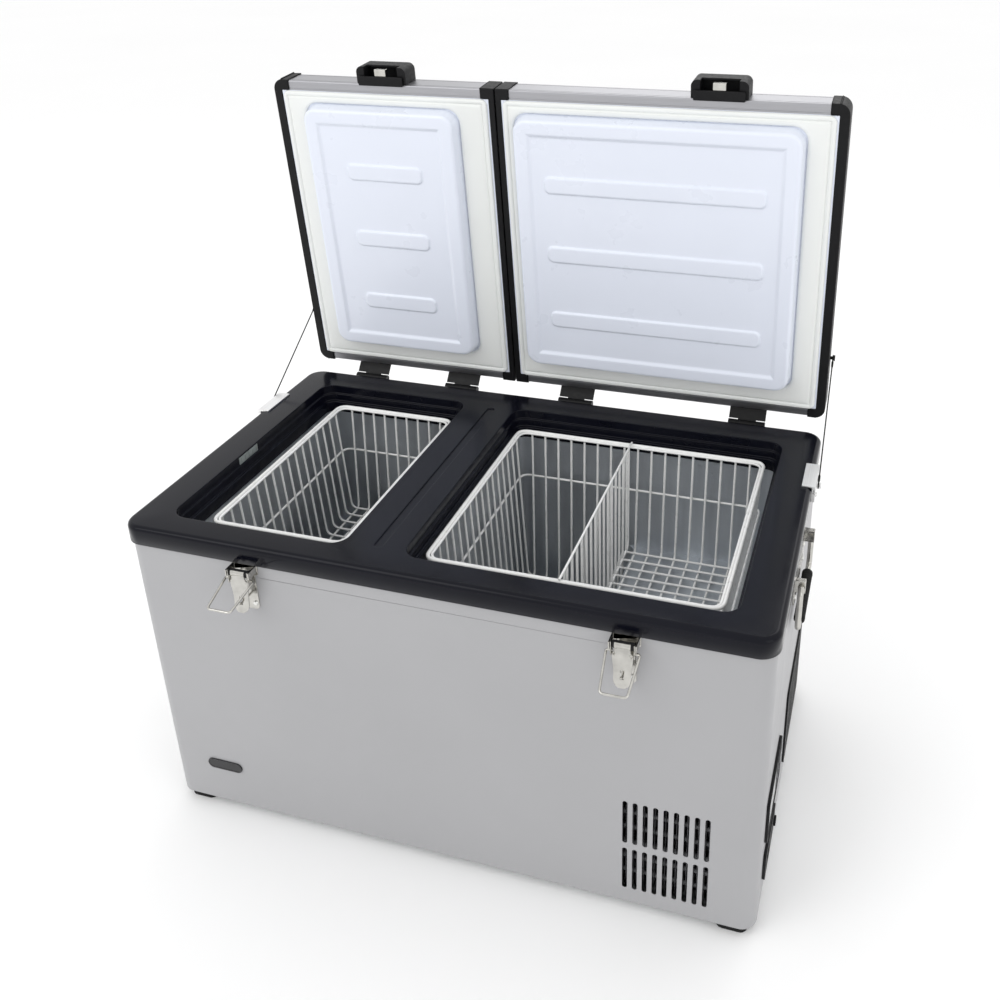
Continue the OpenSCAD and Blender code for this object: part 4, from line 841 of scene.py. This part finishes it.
def build_lid(side):
    build_liner(side)
    build_gasket(side)
    build_bars(side)
    build_panel(side)
    softened(side + "_lid_caps", side + "_end_caps", "cap_plastic", "black", width=1.6 * MM, segments=3)
    softened(side + "_keeper", side + "_keeper_housing", "cap_plastic", "black", width=0.9 * MM,
             extra=keeper_lip(side))
    softened(side + "_keeper_hook", side + "_hook_plate", "plated_steel", "nickel", width=0.35 * MM)
    softened(side + "_lid_hardware", side + "_lid_hinges", "hinge_black", "hinge", "screw", width=0,
             pick=is_small(20 * MM))


# ---------- stays, latches and handles ----------

CORD_STEPS = 64
EYE_STEPS = 28


def build_cord(side):
    low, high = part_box(side + "_stay_cord")
    sign = LEFT_OF[side]
    eye = 5.4 * MM
    bottom = Vector((sign * 442 * MM, low.y + eye, low.z + eye))
    top = Vector((sign * 438.2 * MM, high.y - eye, high.z - eye))
    u = (top - bottom).normalized()
    length = (top - bottom).length
    bm = bmesh.new()
    path, radii = [], []
    for i in range(CORD_STEPS + 1):
        d = 4.6 * MM + (length - 9.2 * MM) * i / CORD_STEPS
        near = min(d, length - d)
        path.append(bottom + u * d)
        radii.append(1.7 * MM if 6 * MM < near < 17 * MM else 1.0 * MM)
    tube(bm, path, radii, 10)
    for centre in (bottom, top):
        turns = (2 * math.pi * i / EYE_STEPS for i in range(EYE_STEPS))
        ring = [centre + Vector((0, math.cos(a), math.sin(a))) * 4.0 * MM for a in turns]
        tube(bm, ring, 1.0 * MM, 8, closed=True)
    bmesh.ops.recalc_face_normals(bm, faces=bm.faces)
    obj = new_object(side + "_cord_strand", bm)
    shade(obj, 60)
    obj.data.materials.append(FINISH["cord"].material)
    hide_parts(side + "_stay_cord")
    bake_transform(obj)


# Rows of the lever's plate: height from the pivot, half width and distance out from the pivot, in mm
LEVER_ROWS = [(4.6, 9.6, -3.4), (4.2, 9.8, -4.6), (2.5, 9.8, -5.5), (0, 9.8, -5.9), (-3, 9.8, -5.6),
              (-6, 9.8, -4.8), (-9, 10.4, -4.3), (-11, 13.0, -4.2), (-22, 12.2, -4.2), (-34, 11.0, -4.2),
              (-40, 10.7, -4.6), (-46, 10.8, -5.6), (-51, 10.2, -6.8), (-54.5, 8.0, -7.8), (-56.5, 4.6, -8.4)]
# Columns as parts of the half width. The key slot lies between the two inner ones and these two heights
SLOT_HALF = 0.22
LEVER_COLUMNS = (-1, -0.86, -0.5, -SLOT_HALF, SLOT_HALF, 0.5, 0.86, 1)
LEVER_SLOT = (-28, -48)


def build_lever(side):
    pivot = Vector(JOINTS[side + "_lever_pivot"]["pos_m"])
    bm = bmesh.new()
    # Stamped plate: tapers, then flares out from the cabinet at the finger end
    rows, columns = LEVER_ROWS, LEVER_COLUMNS
    t = 1.3 * MM
    grid = []
    for z, half, y in rows:
        line = []
        for c in columns:
            edge = 0.9 * MM if abs(c) == 1 else 0
            line.append(pivot + Vector((c * half * MM, y * MM + edge, z * MM)))
        grid.append(line)
    front = [[bm.verts.new(p) for p in line] for line in grid]
    back = [[bm.verts.new(p + Vector((0, t, 0))) for p in line] for line in grid]
    hole = set()
    for i, (z, half, y) in enumerate(rows[:-1]):
        for k in range(len(columns) - 1):
            if LEVER_SLOT[1] <= rows[i + 1][0] and z <= LEVER_SLOT[0] and columns[k] == -SLOT_HALF:
                hole.add((i, k))
    for i in range(len(rows) - 1):
        for k in range(len(columns) - 1):
            if (i, k) in hole:
                continue
            for sheet in (front, back):
                bm.faces.new((sheet[i][k], sheet[i][k + 1], sheet[i + 1][k + 1], sheet[i + 1][k]))
    rim_edges = [e for e in bm.edges if len(e.link_faces) == 1]
    pair = {front[i][k]: back[i][k] for i in range(len(rows)) for k in range(len(columns))}
    for e in rim_edges:
        a, b = e.verts
        if a in pair and b in pair:
            bm.faces.new((a, b, pair[b], pair[a]))
    # Cheeks beside the pivot and the bail, and the solid head between them. Neither has the CAD's bores
    for sign in (-1, 1):
        x = pivot.x + sign * 14.3 * MM
        block(bm, (x - 0.7 * MM, pivot.y - 4.6 * MM, pivot.z - 15 * MM),
              (x + 0.7 * MM, pivot.y + 4.2 * MM, pivot.z + 4.6 * MM), 0.5 * MM)
        lathe(bm, Vector((x + sign * 0.5 * MM, pivot.y, pivot.z - 10 * MM)), (sign, 0, 0),
              [(0, 2.6 * MM), (0.8 * MM, 2.6 * MM), (1.2 * MM, 2.0 * MM)], 20)
    # The head takes the second finish, a near-black painted shade for the shadow inside the lever's rolled top
    block(bm, (pivot.x - 13.5 * MM, pivot.y - 3.6 * MM, pivot.z - 4 * MM),
          (pivot.x + 13.5 * MM, pivot.y + 4 * MM, pivot.z + 3 * MM), 0.8 * MM, 1)
    obj = piece(side + "_lever_plate", bm, "plated_steel", [side + "_latch_lever"], "nickel", "hollow",
                angle=40)
    bevel = obj.modifiers.new("bevel", "BEVEL")
    bevel.width = 0.3 * MM
    bevel.segments = 2
    bevel.limit_method = "ANGLE"
    bevel.angle_limit = math.radians(50)
    bevel.use_clamp_overlap = True


BAIL_OUT = {"left": 76, "right": 60}


def build_bail(side):
    pivot = Vector(JOINTS[side + "_bail_pivot"]["pos_m"])
    turn = Matrix.Translation(pivot) @ Matrix.Rotation(math.radians(-BAIL_OUT[side]), 4, "X")
    a, b, drop = 20.5 * MM, 16.4 * MM, 52 * MM
    hang = [(12.8 * MM, 0, 0), (a, 0, 0), (a - 0.4 * MM, 0, -6 * MM), (b, 0, -drop)]
    points = hang + [(-x, y, z) for x, y, z in hang[::-1]]
    path = [turn @ p for p in filleted(points, 5 * MM, 5)]
    bm = bmesh.new()
    tube(bm, path, 1.65 * MM, 12)
    piece(side + "_bail_wire", bm, "plated_steel", [side + "_latch_bail"], "nickel", angle=60)


GRIP_RIDGES = 17


def build_handle(side):
    pivot = Vector(JOINTS[side + "_handle_pivot"]["pos_m"])
    low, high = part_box(side + "_handle_bail")
    half = high.y - 4 * MM
    drop = pivot.z - low.z - 4 * MM
    bm = bmesh.new()
    end = half - 21 * MM
    points = [(0, end, 0), (0, half, 0), (0, half, -drop), (0, -half, -drop), (0, -half, 0), (0, -end, 0)]
    tube(bm, [pivot + p for p in filleted(points, 9 * MM, 6)], 4 * MM, 16)
    piece(side + "_handle_rod", bm, "plated_steel", [side + "_handle_bail"], "nickel", angle=60)

    low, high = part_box(side + "_handle_grip")
    length = high.y - low.y
    bm = bmesh.new()
    profile = [(0, 4.2 * MM), (0.6 * MM, 6.2 * MM), (2 * MM, 7.3 * MM), (5 * MM, 7.5 * MM),
               (8 * MM, 7.4 * MM)]
    start, stop = 10 * MM, length - 10 * MM
    for i in range(GRIP_RIDGES):
        d = start + (stop - start) * i / (GRIP_RIDGES - 1)
        profile += [(d - 1.6 * MM, 6.6 * MM), (d - 0.9 * MM, 7.3 * MM), (d + 0.9 * MM, 7.3 * MM),
                    (d + 1.6 * MM, 6.6 * MM)]
    profile += [(length - d, r) for d, r in profile[4::-1]]
    centre = Vector((pivot.x, low.y, pivot.z - drop))
    lathe(bm, centre, (0, 1, 0), profile, 28)
    piece(side + "_grip_sleeve", bm, "grip_rubber", [side + "_handle_grip"], "rubber", angle=50)


# ---------- what lies behind the panels ----------

def carry_over():
    """CAD nodes that keep their shape and get a finish."""
    plain_nodes = {
        "base_plate": "zinc", "machine_bulkhead": "zinc", "foam_insulation": "foam", "left_tub": "tub",
        "right_tub": "tub", "evaporator_coils": "coil", "compressor": "compressor", "fan_rotor": "fan",
        "refrigerant_lines": "copper", "left_lid_foam": "foam", "right_lid_foam": "foam",
    }
    for node, finish in plain_nodes.items():
        obj = frame["nodes"][node]
        obj.data.materials.clear()
        obj.data.materials.append(FINISH[finish].material)


def pick_mount(low, high):
    size = high - low
    if size.x > 100 * MM:
        return 0
    return 1 if size.x > 15 * MM else 2


def pick_condenser(low, high):
    size = high - low
    if size.x < 1 * MM:
        return 0
    return 1 if size.x > 3 * MM else 2


def pick_control(low, high):
    size = high - low
    if size.x < 3 * MM:
        return 0
    return 2 if size.y < 3 * MM else 1


def build_fittings():
    softened("cabinet_shell", "cabinet_skin", "cabinet_paint", "paint", width=0.35 * MM)
    softened("feet", "foot_pads", "foot_rubber", "rubber", width=1.8 * MM, segments=3)
    softened("compressor_mounts", "compressor_feet", "galvanised_sheet", "zinc", "rubber", "screw", width=0,
             pick=pick_mount)
    softened("condenser", "condenser_core", "copper_tube", "fin", "copper", "zinc", width=0,
             pick=pick_condenser)
    softened("fan_shroud", "fan_frame", "fan_plastic", "fan", "zinc", width=0.6 * MM,
             pick=lambda low, high: int((high - low).z < 60 * MM))
    softened("control_module", "control_board", "board", "board", "fan", "coil", width=0.3 * MM,
             pick=pick_control)
    softened("control_panel", "panel_bezel", "panel_plastic", "black", width=0.8 * MM, segments=3)
    softened("display_window", "display_pane", "display", "display", width=0.5 * MM)
    softened("power_button", "power_button_cap", "button_plastic", "button", width=0.9 * MM, segments=3)
    softened("temperature_rocker", "rocker_cap", "rocker_plastic", "rocker", width=0.25 * MM)
    softened("power_inlets", "inlet_block", "panel_plastic", "black", "screw", "rocker", width=0.5 * MM,
             pick=lambda low, high: 0 if (high - low).y > 30 * MM else (2 if (high - low).y > 10 * MM else 1))
    softened("side_grille", "side_louvre", "panel_plastic", "black", width=0.5 * MM)
    softened("badge", "blank_badge", "badge_face", "badge", "nickel", width=0.35 * MM,
             pick=lambda low, high: int((high - low).x > 54 * MM))
    softened("stay_brackets", "stay_bracket_sections", "bracket_aluminium", "bracket", "screw",
             width=0.35 * MM, pick=is_small(20 * MM))
    softened("rim_hinge_leaves", "rim_hinges", "hinge_black", "hinge", "screw", width=0,
             pick=lambda low, high: int((high - low).z < 8 * MM))
    softened("latch_bases", "latch_back_plates", "plated_steel", "nickel", width=0.35 * MM)
    softened("handle_plates", "handle_back_plates", "plated_steel", "nickel", width=0.5 * MM)
    softened("screws", "pan_screws", "screw_steel", "screw", width=0.25 * MM)


make_camera()
make_studio()
carry_over()
build_rim()
build_lamp()
build_fittings()
build_divider()
for lid_side in SIDES:
    build_basket(lid_side)
    build_lid(lid_side)
    build_cord(lid_side)
    build_lever(lid_side)
    build_bail(lid_side)
    build_handle(lid_side)
